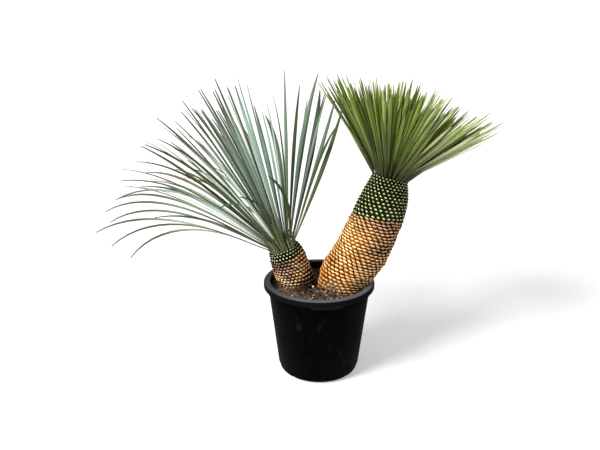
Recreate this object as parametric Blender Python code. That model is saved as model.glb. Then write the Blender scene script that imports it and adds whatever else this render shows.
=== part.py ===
"""A beaked yucca with two heads of leaves, planted in a round nursery pot.

Metres, +Z up. The origin is the centre of the pot's base, on the ground, and the viewer stands at -Y.
"""

import math
import random

import bmesh
import bpy
from mathutils import Quaternion, Vector, noise

# The gap kept between pieces that touch
GAP = 0.0003

# The pot, turned about Z
POT_HEIGHT = 0.312
RIM_RADIUS = 0.180
RIM_INNER_RADIUS = 0.1605
RIM_ROLL = 0.0075
SKIRT_DROP = 0.0165
SKIRT_WALL = 0.0025
SKIRT_CHANNEL = 0.011
WALL_TOP_RADIUS = 0.1665
WALL_BASE_RADIUS = 0.129
WALL = 0.003
BASE_CORNER = 0.022
TURN_STEPS = 36
STEP_BELOW_RIM = 0.036
STEP_SIZE = 0.0009
FOOT_BAND_HEIGHT = 0.030
DRAIN_ANGLES = (45, 135, 225, 315)
DRAIN_WIDTH = 0.012
DRAIN_HEIGHT = 0.018
DRAIN_CORNER = 0.003
DRAIN_CUT = 0.060

# The soil
SOIL_TOP = 0.288
SOIL_LUMP = 0.0022
SOIL_LUMP_SPACING = 0.016
SOIL_RINGS = (0.035, 0.075, 0.105, 0.13, 0.148)

# The leaf bases that clothe the trunks
COLUMNS = 30
GREEN_SQUEEZE = 0.72
SCALE_RELIEF = 0.006
SCALE_SINK = 0.004
SCALE_LIFT = 0.55
FIRST_ROW_ABOVE_SOIL = 0.0042
# A trunk's buried foot: share of its depth, share of its radius
FOOT_RINGS = ((0.0, 1.0), (0.5, 0.88), (1.0, 0.66))
CUTTER_ABOVE_SOIL = 0.020

# The blades
GOLDEN_ANGLE = math.pi * (3 - math.sqrt(5))
DOWN = (0.0, 0.0, -1.0)
BLADE_TIP_WIDTH = 0.0022
BLADE_TIP_THICKNESS = 0.0008
BLADE_STEPS = 24
WIDTH_SCATTER = 0.15
STRONG_BEND = math.radians(45)
STRONG_BEND_STATIONS = (0.42, 0.64, 0.82)
CORE_SIDES = 24
CORE_RINGS = (1.0, 0.72, 0.4)
ROOT_DEPTH = 0.008
ROOT_SPREAD = 0.97
CORE_SKIRT = 0.008
DISC_MARGIN = 0.001

# Each trunk's sections from the soil up: centre X, Y, Z, radius over the leaf bases, lean to +X and
# lean to +Y in degrees
TALL_SECTIONS = (
    (0.077, 0.000, 0.288, 0.079, 0.0, 0.0),
    (0.0915, 0.002, 0.339, 0.0835, 14.0, 2.0),
    (0.133, 0.006, 0.405, 0.084, 19.0, 5.0),
    (0.1795, 0.021, 0.510, 0.082, 10.0, 8.0),
    (0.205, 0.035, 0.580, 0.074, 11.0, 10.0),
    (0.2224, 0.049, 0.6465, 0.055, 15.0, 10.0),
)
SHORT_SECTIONS = (
    (-0.071, 0.030, 0.288, 0.060, 0.0, 0.0),
    (-0.0848, 0.030, 0.324, 0.059, -12.0, 2.0),
    (-0.0986, 0.028, 0.369, 0.057, -18.0, 1.0),
    (-0.1104, 0.025, 0.400, 0.052, -21.0, 2.0),
    (-0.1165, 0.023, 0.415, 0.046, -24.0, 5.0),
)

TALL = {
    "name": "tall",
    "sections": TALL_SECTIONS,
    "collar_from": 0.266,
    "old_rows": 24,
    "green_rows": 13,
    "foot_depth": 0.080,
    "foot_lean": -0.012,
    "seed": 3,
    "blades": 190,
    "spread": math.radians(48),
    "crowding": 1.0,
    "tilt_scatter": math.radians(2),
    "turn_scatter": math.radians(4),
    "roll_scatter": math.radians(25),
    "inner_length": 0.345,
    "outer_length": 0.425,
    "length_growth": 1.5,
    "length_scatter": 0.06,
    "bend": 0.05,
    "bend_scatter": 0.5,
    "bend_lean_power": 1.0,
    "bend_along_power": 2.0,
    "width": 0.0145,
    "root_width": 0.0045,
    "stations": (0.5,),
    "thin_front": 0.0,
    "thin_right": 0.0,
    "placed_from": 1.0,
    "lowest_tip": 0.0,
    "placed": (),
}
SHORT = {
    "name": "short",
    "sections": SHORT_SECTIONS,
    "collar_from": 0.093,
    "old_rows": 7,
    "green_rows": 4,
    "foot_depth": 0.060,
    "foot_lean": 0.010,
    "seed": 679,
    "blades": 140,
    "spread": math.radians(44.1),
    "crowding": 1.155,
    "tilt_scatter": math.radians(4),
    "turn_scatter": math.radians(4.3),
    "roll_scatter": math.radians(35),
    "inner_length": 0.591,
    "outer_length": 0.598,
    "length_growth": 1.0,
    "length_scatter": 0.066,
    "bend": 1.855,
    "bend_scatter": 0.6,
    "bend_lean_power": 4.14,
    "bend_along_power": 2.54,
    "width": 0.018,
    "root_width": 0.006,
    "stations": (0.42, 0.74),
    "thin_front": 0.871,
    "thin_right": 0.367,
    # Where the rule stops: leaves that head further right, or droop lower, are placed one by one
    "placed_from": -0.13,
    "lowest_tip": 0.53,
    # Tilt, turn and roll in degrees, length, bend in degrees, way that the tip falls
    "placed": (
        # Two bent leaves at the front
        (42, -46, 0, 0.300, 46, (-0.97, 0.20, -0.17)),
        (33, -74, 0, 0.315, 43, (-0.20, 0.12, -0.97)),
        # Low leaves on the left, which arch over
        (43, -137, 0, 0.511, 81, DOWN),
        (42, -144, 0, 0.549, 69, DOWN),
        (42, -156, 0, 0.579, 55, DOWN),
        (39, -174, 0, 0.558, 62, DOWN),
        (38, -182, 0, 0.595, 61, DOWN),
        (41, -200, 0, 0.616, 52, DOWN),
        (28, -149, 0, 0.560, 70, DOWN),
        # Upright leaves on the right, which stand apart from each other
        (27, -32, 50, 0.500, 11, (-0.94, 0.0, -0.34)),
        (25.6, -23, 55, 0.560, 0, DOWN),
        (32, 40, 25, 0.516, 4, (0.94, 0.0, -0.34)),
        (30.5, -9, 70, 0.547, 11, (0.59, 0.0, -0.81)),
        (41.6, 35, 80, 0.552, 31, (-0.31, 0.0, -0.95)),
        (40.5, -12, 40, 0.462, 41, (-0.25, 0.0, -0.97)),
        (42.9, 23, 35, 0.512, 35, (-0.29, 0.0, -0.96)),
        (45.8, -16, 60, 0.500, 7, (-0.93, 0.0, -0.36)),
        (42.8, 73, 30, 0.568, 33, (-0.31, 0.0, -0.95)),
    ),
}
THIN_FROM = 0.3
CLEAR_OF_NEIGHBOUR = 0.012
NEIGHBOUR_REACH = 0.35
TURN_ASIDE = math.radians(3)
TURN_ASIDE_TRIES = 8

# The pale stone that lies on the soil
STONE_PLACE = (-0.0195, -0.004)
STONE_SIZE = (0.0034, 0.0070, 0.0034)
STONE_TURN = math.radians(14)
STONE_CLEARING = 0.016


def clear_scene():
    for obj in list(bpy.data.objects):
        bpy.data.objects.remove(obj)


def plain_material(name, colour, roughness):
    material = bpy.data.materials.new(name)
    material.use_nodes = True
    shader = material.node_tree.nodes["Principled BSDF"]
    shader.inputs["Base Color"].default_value = (*colour, 1)
    shader.inputs["Roughness"].default_value = roughness
    shader.inputs["Metallic"].default_value = 0
    return material


def object_from(bm, name, material=None):
    """A scene object made from a finished bmesh."""
    mesh = bpy.data.meshes.new(name)
    bm.to_mesh(mesh)
    bm.free()
    obj = bpy.data.objects.new(name, mesh)
    bpy.context.collection.objects.link(obj)
    if material:
        mesh.materials.append(material)
    return obj


def as_helper(obj):
    obj.hide_render = True
    obj.display_type = "WIRE"


def apply_modifiers(obj):
    """Replaces the object's mesh by the one that its modifiers make."""
    graph = bpy.context.evaluated_depsgraph_get()
    mesh = bpy.data.meshes.new_from_object(obj.evaluated_get(graph), depsgraph=graph)
    obj.modifiers.clear()
    obj.data = mesh


def turned(profile):
    """A closed bmesh turned about Z from points (radius, height)."""
    bm = bmesh.new()
    points = [bm.verts.new((radius, 0, height)) for radius, height in profile]
    edges = [bm.edges.new(pair) for pair in zip(points, points[1:])]
    bmesh.ops.spin(
        bm,
        geom=points + edges,
        cent=(0, 0, 0),
        axis=(0, 0, 1),
        angle=math.tau,
        steps=TURN_STEPS,
        use_merge=True,
    )
    bmesh.ops.remove_doubles(bm, verts=bm.verts, dist=1e-6)
    bmesh.ops.dissolve_degenerate(bm, edges=bm.edges, dist=1e-6)
    bmesh.ops.recalc_face_normals(bm, faces=bm.faces)
    return bm


def arc(centre, radius, start, end, steps):
    """Points (radius, height) on an arc between two angles in degrees."""
    points = []
    for step in range(steps + 1):
        angle = math.radians(start + (end - start) * step / steps)
        points.append((centre[0] + radius * math.cos(angle), centre[1] + radius * math.sin(angle)))
    return points


def wall_radius(height):
    """The outer radius of the pot's tapered wall at a height."""
    share = height / (POT_HEIGHT - SKIRT_DROP)
    return WALL_BASE_RADIUS + (WALL_TOP_RADIUS - WALL_BASE_RADIUS) * share


def inner_profile(inset):
    """The pot's inner side from the axis to just under the rim, moved inwards by inset."""
    corner = BASE_CORNER - WALL
    floor = WALL + inset
    reach = wall_radius(floor) - WALL - inset
    points = [(0, floor)]
    points += arc((reach - corner, floor + corner), corner, 270, 350, 3)
    points.append((wall_radius(SOIL_TOP) - WALL - inset, SOIL_TOP))
    return points


def rim_profile(offset):
    """The roll of the rim from its inner side over the top to the lip of the skirt, grown by offset."""
    inner = RIM_INNER_RADIUS - offset
    outer = RIM_RADIUS + offset
    top = POT_HEIGHT + offset
    round_off = RIM_ROLL + offset
    points = arc((inner + round_off, top - round_off), round_off, 180, 90, 3)
    points += arc((outer - round_off, top - round_off), round_off, 90, 0, 3)
    points.append((outer, POT_HEIGHT - SKIRT_DROP - offset))
    return points


def pot_profile():
    """The pot's closed section: up the inner side, over the rim and down the outer side."""
    lip = POT_HEIGHT - SKIRT_DROP
    channel = lip + SKIRT_CHANNEL
    step = POT_HEIGHT - STEP_BELOW_RIM
    points = inner_profile(0)
    points += rim_profile(0)
    points.append((RIM_RADIUS - SKIRT_WALL, lip))
    points.append((RIM_RADIUS - SKIRT_WALL, channel - 0.002))
    points.append((RIM_RADIUS - SKIRT_WALL - 0.002, channel))
    points.append((WALL_TOP_RADIUS + 0.002, channel))
    points.append((WALL_TOP_RADIUS + 0.001, step + 0.001))
    points.append((wall_radius(step) - STEP_SIZE, step))
    points.append((wall_radius(FOOT_BAND_HEIGHT), FOOT_BAND_HEIGHT))
    points.append((wall_radius(FOOT_BAND_HEIGHT) - STEP_SIZE, FOOT_BAND_HEIGHT - 0.001))
    corner = (WALL_BASE_RADIUS - BASE_CORNER, BASE_CORNER)
    points += arc(corner, BASE_CORNER, 0, -90, 4)
    points.append((0, 0))
    return points


def make_pot():
    material = plain_material("black_plastic", (0.018, 0.018, 0.020), 0.45)
    pot = object_from(turned(pot_profile()), "pot", material)
    for index, angle in enumerate(DRAIN_ANGLES):
        cutter = make_drain_cutter(f"drain_cutter_{index}", math.radians(angle))
        cut = pot.modifiers.new(f"drain_{index}", "BOOLEAN")
        cut.operation = "DIFFERENCE"
        cut.object = cutter
    pot.data.shade_smooth()
    pot.data.set_sharp_from_angle(angle=math.radians(35))


def make_drain_cutter(name, angle):
    """A block that opens a slot across the pot's bottom corner."""
    bm = bmesh.new()
    bmesh.ops.create_cube(bm, size=1)
    bmesh.ops.scale(bm, vec=(DRAIN_CUT, DRAIN_WIDTH, 2 * DRAIN_HEIGHT), verts=bm.verts)
    rounded = [edge for edge in bm.edges if abs(edge.verts[0].co.x - edge.verts[1].co.x) > DRAIN_CUT / 2]
    bmesh.ops.bevel(bm, geom=rounded, offset=DRAIN_CORNER, segments=2, profile=0.5, affect="EDGES")
    cutter = object_from(bm, name)
    reach = WALL_BASE_RADIUS - BASE_CORNER + DRAIN_CUT / 2
    cutter.location = (reach * math.cos(angle), reach * math.sin(angle), 0)
    cutter.rotation_euler = (0, 0, angle)
    as_helper(cutter)
    return cutter


def soil_height(x, y):
    """The soil's lumpy top, flat at the pot's wall and under the stone."""
    place = Vector((x / SOIL_LUMP_SPACING, y / SOIL_LUMP_SPACING, 0.5))
    from_stone = math.hypot(x - STONE_PLACE[0], y - STONE_PLACE[1])
    fade = min(1, max(0, from_stone / STONE_CLEARING - 1))
    return SOIL_TOP + SOIL_LUMP * noise.noise(place) * fade


def make_soil(feet):
    """The soil, with a plain hole for each trunk's foot."""
    profile = inner_profile(GAP)
    profile += [(radius, SOIL_TOP) for radius in reversed(SOIL_RINGS)]
    profile.append((0, SOIL_TOP))
    bm = turned(profile)
    widest = SOIL_RINGS[-1] + 0.001
    for vertex in bm.verts:
        at_top = vertex.co.z > SOIL_TOP - 1e-5
        if at_top and math.hypot(vertex.co.x, vertex.co.y) < widest:
            vertex.co.z = soil_height(vertex.co.x, vertex.co.y)
    soil = object_from(bm, "soil", plain_material("potting_soil", (0.09, 0.06, 0.04), 0.95))
    for foot in feet:
        cut = soil.modifiers.new(foot.name, "BOOLEAN")
        cut.operation = "DIFFERENCE"
        cut.object = foot


def smooth_row(rows, position):
    """The values at a position along a table of rows, on a Catmull-Rom curve through them."""
    last = len(rows) - 1
    index = min(int(position), last - 1)
    share = position - index
    before = rows[max(index - 1, 0)]
    start = rows[index]
    end = rows[index + 1]
    after = rows[min(index + 2, last)]
    values = []
    for a, b, c, d in zip(before, start, end, after):
        slope_in = (c - a) / 2
        slope_out = (d - b) / 2
        square = share * share
        cube = square * share
        value = b * (2 * cube - 3 * square + 1) + c * (3 * square - 2 * cube)
        value += slope_in * (cube - 2 * square + share) + slope_out * (cube - square)
        values.append(value)
    return values


def direction(lean_right, lean_back):
    """The unit vector that leans from +Z by angles in degrees towards +X and +Y."""
    right = math.radians(lean_right)
    back = math.radians(lean_back)
    return Vector((math.sin(right), math.cos(right) * math.sin(back), math.cos(right) * math.cos(back)))


class Trunk:
    """Sections along one trunk, found by their distance from the soil."""

    FINE = 240

    def __init__(self, plant):
        rows = plant["sections"]
        last = len(rows) - 1
        self.rows = [smooth_row(rows, last * step / self.FINE) for step in range(self.FINE + 1)]
        self.distances = [0.0]
        for one, two in zip(self.rows, self.rows[1:]):
            step = (Vector(two[:3]) - Vector(one[:3])).length
            self.distances.append(self.distances[-1] + step)
        self.length = self.distances[-1]

    def section(self, distance):
        """Centre, outward unit vectors across and back, unit vector along, and radius."""
        index = 0
        while index < self.FINE - 1 and self.distances[index + 1] < distance:
            index += 1
        start, end = self.distances[index], self.distances[index + 1]
        share = (distance - start) / (end - start)
        pair = zip(self.rows[index], self.rows[index + 1])
        x, y, z, radius, lean_right, lean_back = [one + (two - one) * share for one, two in pair]
        along = direction(lean_right, lean_back)
        across = Vector((0, 1, 0)).cross(along).normalized()
        return Vector((x, y, z)), across, along.cross(across), along, radius


def ring(section, radius, count, turn=0.0):
    """Points evenly round a section."""
    centre, across, back = section[:3]
    points = []
    for index in range(count):
        angle = math.tau * index / count + turn
        points.append(centre + radius * (math.cos(angle) * across + math.sin(angle) * back))
    return points


def row_distances(start, end, rows, squeeze):
    """Where the rows of leaf bases lie between two distances; squeeze below 1 packs the last ones closer."""
    pitches = [1 + (squeeze - 1) * row / (rows - 1) for row in range(rows)]
    total = sum(pitches)
    distances = [start]
    for pitch in pitches:
        distances.append(distances[-1] + (end - start) * pitch / total)
    return distances


def scales_mesh(trunk, distances):
    """Rows of four-sided leaf bases in a staggered lattice, closed by a flat face at each end."""
    bm = bmesh.new()
    half_turn = math.pi / COLUMNS
    last = len(distances) - 1
    valleys = []
    for row, distance in enumerate(distances):
        section = trunk.section(distance)
        points = ring(section, section[4] - SCALE_SINK, COLUMNS, half_turn * ((row + 1) % 2))
        valleys.append([bm.verts.new(point) for point in points])
    for row in range(1, last):
        pitch = distances[row + 1] - distances[row]
        section = trunk.section(distances[row])
        lift = section[3] * pitch * SCALE_LIFT
        radius = section[4] - SCALE_SINK + SCALE_RELIEF
        peaks = [bm.verts.new(point + lift) for point in ring(section, radius, COLUMNS, half_turn * (row % 2))]
        for column, peak in enumerate(peaks):
            left = valleys[row][(column - 1 + row % 2) % COLUMNS]
            right = valleys[row][(column + row % 2) % COLUMNS]
            below = valleys[row - 1][column]
            above = valleys[row + 1][column]
            for corner, following in ((left, below), (below, right), (right, above), (above, left)):
                bm.faces.new((peak, corner, following))
    for row, neighbour in ((0, 1), (last, last - 1)):
        for column in range(COLUMNS):
            one = valleys[row][(column - (row + 1) % 2) % COLUMNS]
            two = valleys[row][(column - (row + 1) % 2 + 1) % COLUMNS]
            bm.faces.new((one, two, valleys[neighbour][column]))
    return bm, valleys[0], valleys[-1]


def foot_rings(plant, trunk, grow):
    """Rings of a trunk's plain buried foot, from the first row of leaf bases down."""
    centre, across, back, along, radius = trunk.section(FIRST_ROW_ABOVE_SOIL)
    top_radius = radius - SCALE_SINK
    rings = []
    for share, width in FOOT_RINGS:
        depth = plant["foot_depth"] * share
        place = centre + Vector((plant["foot_lean"] * share, 0, -depth))
        section = (place, across, back)
        rings.append(ring(section, top_radius * width + grow, COLUMNS, math.pi / COLUMNS))
    return rings


def bridge(bm, one, two):
    """Four-sided faces between two rings of vertices."""
    for index in range(len(one)):
        following = (index + 1) % len(one)
        bm.faces.new((one[index], one[following], two[following], two[index]))


def make_foot_cutter(plant, trunk):
    """The hole for a trunk's foot: its own shape, larger by the gap and standing clear of the soil."""
    bm = bmesh.new()
    rings = [[bm.verts.new(point) for point in points] for points in foot_rings(plant, trunk, GAP)]
    above = [bm.verts.new(vertex.co + Vector((0, 0, CUTTER_ABOVE_SOIL))) for vertex in rings[0]]
    for vertex in rings[-1]:
        vertex.co.z -= GAP
    rings.insert(0, above)
    for one, two in zip(rings, rings[1:]):
        bridge(bm, one, two)
    bm.faces.new(rings[0])
    bm.faces.new(rings[-1])
    bmesh.ops.recalc_face_normals(bm, faces=bm.faces)
    cutter = object_from(bm, f"hole_for_{plant['name']}_trunk")
    as_helper(cutter)
    return cutter


def make_trunk(plant, trunk, material):
    """The old trunk with its tan leaf bases and its buried foot."""
    distances = row_distances(
        FIRST_ROW_ABOVE_SOIL, plant["collar_from"] - GAP / 2, plant["old_rows"], 1.0
    )
    bm, bottom, top = scales_mesh(trunk, distances)
    upper = bottom
    for points in foot_rings(plant, trunk, 0)[1:]:
        lower = [bm.verts.new(point) for point in points]
        bridge(bm, upper, lower)
        upper = lower
    bm.faces.new(upper)
    bm.faces.new(top)
    bmesh.ops.recalc_face_normals(bm, faces=bm.faces)
    return object_from(bm, f"trunk_{plant['name']}", material)


def make_collar(plant, trunk, material):
    """The green leaf bases under the head."""
    distances = row_distances(
        plant["collar_from"] + GAP / 2, trunk.length, plant["green_rows"], GREEN_SQUEEZE
    )
    bm, bottom, top = scales_mesh(trunk, distances)
    bm.faces.new(bottom)
    bm.faces.new(top)
    bmesh.ops.recalc_face_normals(bm, faces=bm.faces)
    return object_from(bm, f"collar_{plant['name']}", material)


def clear_of_rim(trunk_object):
    """Relieves the trunk where it leans over the rolled rim."""
    clearance = 2 * GAP
    profile = rim_profile(clearance)
    floor = POT_HEIGHT - SKIRT_DROP - 0.01
    profile[-1] = (profile[-1][0], floor)
    profile.append((profile[0][0], floor))
    profile.append(profile[0])
    cutter = object_from(turned(profile), "rim_clearance")
    as_helper(cutter)
    cut = trunk_object.modifiers.new("clear_of_rim", "BOOLEAN")
    cut.operation = "DIFFERENCE"
    cut.object = cutter


class Blade:
    """One leaf: a straight root that bends towards the ground the further it leans."""

    def __init__(self, plant, root, heading, side, length, bend, width, fall=DOWN):
        self.plant = plant
        self.root = root
        self.heading = heading
        self.side = side
        self.length = length
        self.bend = bend
        self.width = width
        self.fall = Vector(fall)

    def frames(self, shares):
        """Place, heading and side vector at each share of the length."""
        hinge = self.heading.cross(self.fall).normalized()
        places = [self.root.copy()]
        turns = [0.0]
        for step in range(BLADE_STEPS):
            turn = self.bend * ((step + 0.5) / BLADE_STEPS) ** self.plant["bend_along_power"]
            heading = Quaternion(hinge, turn) @ self.heading
            places.append(places[-1] + heading * self.length / BLADE_STEPS)
            turns.append(self.bend * ((step + 1) / BLADE_STEPS) ** self.plant["bend_along_power"])
        found = []
        for share in shares:
            index = min(int(share * BLADE_STEPS), BLADE_STEPS - 1)
            part = share * BLADE_STEPS - index
            place = places[index].lerp(places[index + 1], part)
            turn = turns[index] + (turns[index + 1] - turns[index]) * part
            rotation = Quaternion(hinge, turn)
            found.append((place, rotation @ self.heading, rotation @ self.side))
        return found


def crown_place(plant, trunk):
    """The point that a head's leaves radiate from, its axes and the radius of its core."""
    top, across, back, along, radius = trunk.section(trunk.length)
    disc = radius - DISC_MARGIN
    centre = top + along * (GAP + CORE_SKIRT - disc / math.tan(plant["spread"]))
    return centre, across, back, along, disc / math.sin(plant["spread"])


def blade_root(plant, place, tilt, outward):
    """A leaf's root inside the core, its heading, and the way that its upper face looks."""
    centre, _, _, along, core_radius = place
    root_tilt = min(tilt, plant["spread"] * ROOT_SPREAD)
    root_way = math.cos(root_tilt) * along + math.sin(root_tilt) * outward
    heading = math.cos(tilt) * along + math.sin(tilt) * outward
    upper_face = math.sin(tilt) * along - math.cos(tilt) * outward
    return centre + root_way * (core_radius - ROOT_DEPTH), heading, upper_face


def blades_of(plant, trunk):
    """The leaves of one head, at the golden angle round its axis."""
    draw = random.Random(plant["seed"])
    place = crown_place(plant, trunk)
    _, across, back, _, core_radius = place
    blades = []
    for index in range(plant["blades"]):
        share = (index + 0.5) / plant["blades"]
        tilt_draw, turn_draw, length_draw, bend_draw, width_draw, keep_draw, roll_draw = [
            draw.uniform(-1, 1) for _ in range(7)
        ]
        tilt = math.acos(1 - (1 - math.cos(plant["spread"])) * share ** plant["crowding"])
        tilt = max(0.0, tilt + plant["tilt_scatter"] * tilt_draw)
        turn = index * GOLDEN_ANGLE + plant["turn_scatter"] * turn_draw
        outward = math.cos(turn) * across + math.sin(turn) * back
        frontness = -math.sin(turn) * math.sin(tilt)
        rightness = math.cos(turn) * math.sin(tilt)
        keep = (keep_draw + 1) / 2
        if frontness > THIN_FROM and keep < plant["thin_front"]:
            continue
        if rightness > 0 and keep < plant["thin_right"]:
            continue
        root, heading, upper_face = blade_root(plant, place, tilt, outward)
        side = math.cos(turn) * back - math.sin(turn) * across
        roll = plant["roll_scatter"] * roll_draw
        side = math.cos(roll) * side + math.sin(roll) * upper_face
        growth = share ** plant["length_growth"]
        length = plant["inner_length"] + (plant["outer_length"] - plant["inner_length"]) * growth
        length *= 1 + plant["length_scatter"] * length_draw
        lean = math.acos(max(-1, min(1, heading.z)))
        bend = plant["bend"] * (1 + plant["bend_scatter"] * bend_draw)
        bend *= math.sin(lean) ** plant["bend_lean_power"]
        width = plant["width"] * (1 + WIDTH_SCATTER * width_draw)
        blade = Blade(plant, root, heading, side, length - core_radius, bend, width)
        if heading.x < plant["placed_from"] and blade.frames((1.0,))[0][0].z > plant["lowest_tip"]:
            blades.append(blade)
    for tilt, turn, roll, length, bend, fall in plant["placed"]:
        turn = math.radians(turn)
        roll = math.radians(roll)
        outward = math.cos(turn) * across + math.sin(turn) * back
        root, heading, upper_face = blade_root(plant, place, math.radians(tilt), outward)
        side = math.cos(turn) * back - math.sin(turn) * across
        side = math.cos(roll) * side + math.sin(roll) * upper_face
        blades.append(Blade(plant, root, heading, side, length, math.radians(bend), plant["width"], fall))
    return blades


def nearest(one, other):
    """The smallest distance between two lists of points, close enough for thin leaves."""
    return min((a - b).length for a in one for b in other)


def turn_clear(blades, neighbours):
    """Turns the leaves that would cross the other head to the front of it, and drops the last few."""
    shares = [step / BLADE_STEPS for step in range(BLADE_STEPS + 1)]
    lines = [[frame[0] for frame in blade.frames(shares)] for blade in neighbours]
    kept = []
    for blade in blades:
        for _ in range(TURN_ASIDE_TRIES):
            path = [frame[0] for frame in blade.frames(shares)]
            close = [line for line in lines if (line[-1] - path[-1]).length < NEIGHBOUR_REACH]
            if all(nearest(path, line) > CLEAR_OF_NEIGHBOUR for line in close):
                kept.append(blade)
                break
            aside = Quaternion(Vector((1, 0, 0)), TURN_ASIDE)
            blade.heading = aside @ blade.heading
            blade.side = aside @ blade.side
    return kept


def blade_object(blade, name):
    """A blade with a flat upper face and a keel below, as one closed mesh."""
    plant = blade.plant
    stations = STRONG_BEND_STATIONS if blade.bend > STRONG_BEND else plant["stations"]
    shares = (0.0, *stations, 1.0)
    widest = stations[0]
    bm = bmesh.new()
    sections = []
    for share, (place, heading, side) in zip(shares, blade.frames(shares)):
        if share <= widest:
            width = plant["root_width"] + (blade.width - plant["root_width"]) * (share / widest) ** 0.7
        else:
            taper = (1 - share) / (1 - widest)
            width = BLADE_TIP_WIDTH + (blade.width - BLADE_TIP_WIDTH) * taper
        keel = max(BLADE_TIP_THICKNESS, 0.2 * width + 0.0005)
        up = heading.cross(side).normalized()
        corners = (place + side * width / 2, place - side * width / 2, place - up * keel)
        sections.append([bm.verts.new(corner) for corner in corners])
    for one, two in zip(sections, sections[1:]):
        bridge(bm, one, two)
    bm.faces.new(sections[0])
    bm.faces.new(sections[-1])
    bmesh.ops.triangulate(bm, faces=bm.faces)
    bmesh.ops.recalc_face_normals(bm, faces=bm.faces)
    return object_from(bm, name)


def core_mesh(plant, trunk):
    """The dome that the blades are rooted in, flat below."""
    centre, across, back, along, radius = crown_place(plant, trunk)
    bm = bmesh.new()
    rings = []
    for tilt_share in CORE_RINGS:
        tilt = plant["spread"] * tilt_share
        place = centre + along * radius * math.cos(tilt)
        points = ring((place, across, back), radius * math.sin(tilt), CORE_SIDES)
        rings.append([bm.verts.new(point) for point in points])
    rings.insert(0, [bm.verts.new(vertex.co - along * CORE_SKIRT) for vertex in rings[0]])
    for one, two in zip(rings, rings[1:]):
        bridge(bm, one, two)
    bm.faces.new(rings[0])
    summit = bm.verts.new(centre + along * radius)
    for index in range(CORE_SIDES):
        bm.faces.new((rings[-1][index], rings[-1][(index + 1) % CORE_SIDES], summit))
    bmesh.ops.recalc_face_normals(bm, faces=bm.faces)
    return bm


def make_crown(plant, trunk, blades, material):
    """A head of leaves joined to its core as one body."""
    crown = object_from(core_mesh(plant, trunk), f"crown_{plant['name']}", material)
    bunch = bpy.data.collections.new(f"blades_{plant['name']}")
    bpy.context.scene.collection.children.link(bunch)
    for index, blade in enumerate(blades):
        leaf = blade_object(blade, f"{plant['name']}_blade_{index}")
        bpy.context.collection.objects.unlink(leaf)
        bunch.objects.link(leaf)
    union = crown.modifiers.new("blades", "BOOLEAN")
    union.operation = "UNION"
    union.operand_type = "COLLECTION"
    union.collection = bunch
    # A union of this many crossing blades takes minutes with the exact solver
    union.solver = "MANIFOLD"
    bpy.context.view_layer.update()
    apply_modifiers(crown)
    crown.data.materials.clear()
    crown.data.materials.append(material)
    for leaf in list(bunch.objects):
        bpy.data.objects.remove(leaf)
    bpy.data.collections.remove(bunch)


def make_stone():
    """A small pale stone that rests on the soil on a flat spot."""
    bm = bmesh.new()
    bmesh.ops.create_icosphere(bm, subdivisions=2, radius=1)
    bmesh.ops.scale(bm, vec=STONE_SIZE, verts=bm.verts)
    seat = -0.7 * STONE_SIZE[2]
    for vertex in bm.verts:
        vertex.co.z = max(vertex.co.z, seat)
    bmesh.ops.remove_doubles(bm, verts=bm.verts, dist=1e-5)
    bmesh.ops.rotate(
        bm, verts=bm.verts, cent=(0, 0, 0), matrix=Quaternion((0, 0, 1), STONE_TURN).to_matrix()
    )
    stone = object_from(bm, "white_stone", plain_material("pale_stone", (0.85, 0.84, 0.80), 0.6))
    stone.location = (*STONE_PLACE, SOIL_TOP + GAP - seat)


def make_plants():
    """Both trunks with their heads. Returns the cutters for the holes in the soil."""
    tan = plain_material("old_leaf_bases", (0.50, 0.33, 0.17), 0.8)
    green = plain_material("green_leaf_bases", (0.10, 0.15, 0.05), 0.7)
    tall = Trunk(TALL)
    short = Trunk(SHORT)
    clear_of_rim(make_trunk(TALL, tall, tan))
    make_trunk(SHORT, short, tan)
    make_collar(TALL, tall, green)
    make_collar(SHORT, short, green)
    tall_blades = blades_of(TALL, tall)
    short_blades = turn_clear(blades_of(SHORT, short), tall_blades)
    make_crown(TALL, tall, tall_blades, plain_material("green_leaves", (0.20, 0.30, 0.08), 0.5))
    make_crown(SHORT, short, short_blades, plain_material("grey_leaves", (0.23, 0.33, 0.26), 0.5))
    return [make_foot_cutter(TALL, tall), make_foot_cutter(SHORT, short)]


def main():
    clear_scene()
    make_pot()
    make_soil(make_plants())
    make_stone()


main()
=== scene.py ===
"""The looks of a potted beaked yucca: fine leaves, leaf bases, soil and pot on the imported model.

Metres, +Z up, in the model's frame: the origin is the middle of the pot's base, seen from -Y. The
growth rules are the model's, so each fine piece lies on its solid.
"""

import random
from bisect import bisect_left
from itertools import accumulate
from math import acos, atan2, copysign, cos, hypot, pi, radians, sin, sqrt, tan, tau
from types import SimpleNamespace

import bmesh
import bpy
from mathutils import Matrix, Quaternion, Vector, noise


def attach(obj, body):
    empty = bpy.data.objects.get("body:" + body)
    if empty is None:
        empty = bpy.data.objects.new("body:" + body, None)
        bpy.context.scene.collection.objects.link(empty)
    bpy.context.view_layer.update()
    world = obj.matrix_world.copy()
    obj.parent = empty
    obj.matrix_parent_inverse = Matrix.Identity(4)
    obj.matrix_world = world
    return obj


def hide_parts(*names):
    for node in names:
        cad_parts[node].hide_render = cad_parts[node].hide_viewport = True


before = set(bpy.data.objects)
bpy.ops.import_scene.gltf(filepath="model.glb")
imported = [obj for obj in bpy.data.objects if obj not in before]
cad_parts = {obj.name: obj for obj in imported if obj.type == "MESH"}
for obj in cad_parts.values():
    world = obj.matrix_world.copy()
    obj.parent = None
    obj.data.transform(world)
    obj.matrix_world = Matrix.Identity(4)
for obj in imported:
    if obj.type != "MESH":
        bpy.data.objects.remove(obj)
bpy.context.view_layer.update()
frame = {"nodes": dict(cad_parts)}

# The camera, at the photograph's angle, and the floor
CAMERA_PLACE = (0.0015, -2.397, 1.343)
CAMERA_PITCH = radians(19.35)
CAMERA_YAW = radians(-1.52)
CAMERA_LENS = 48
FLOOR_REACH = 60

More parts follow.
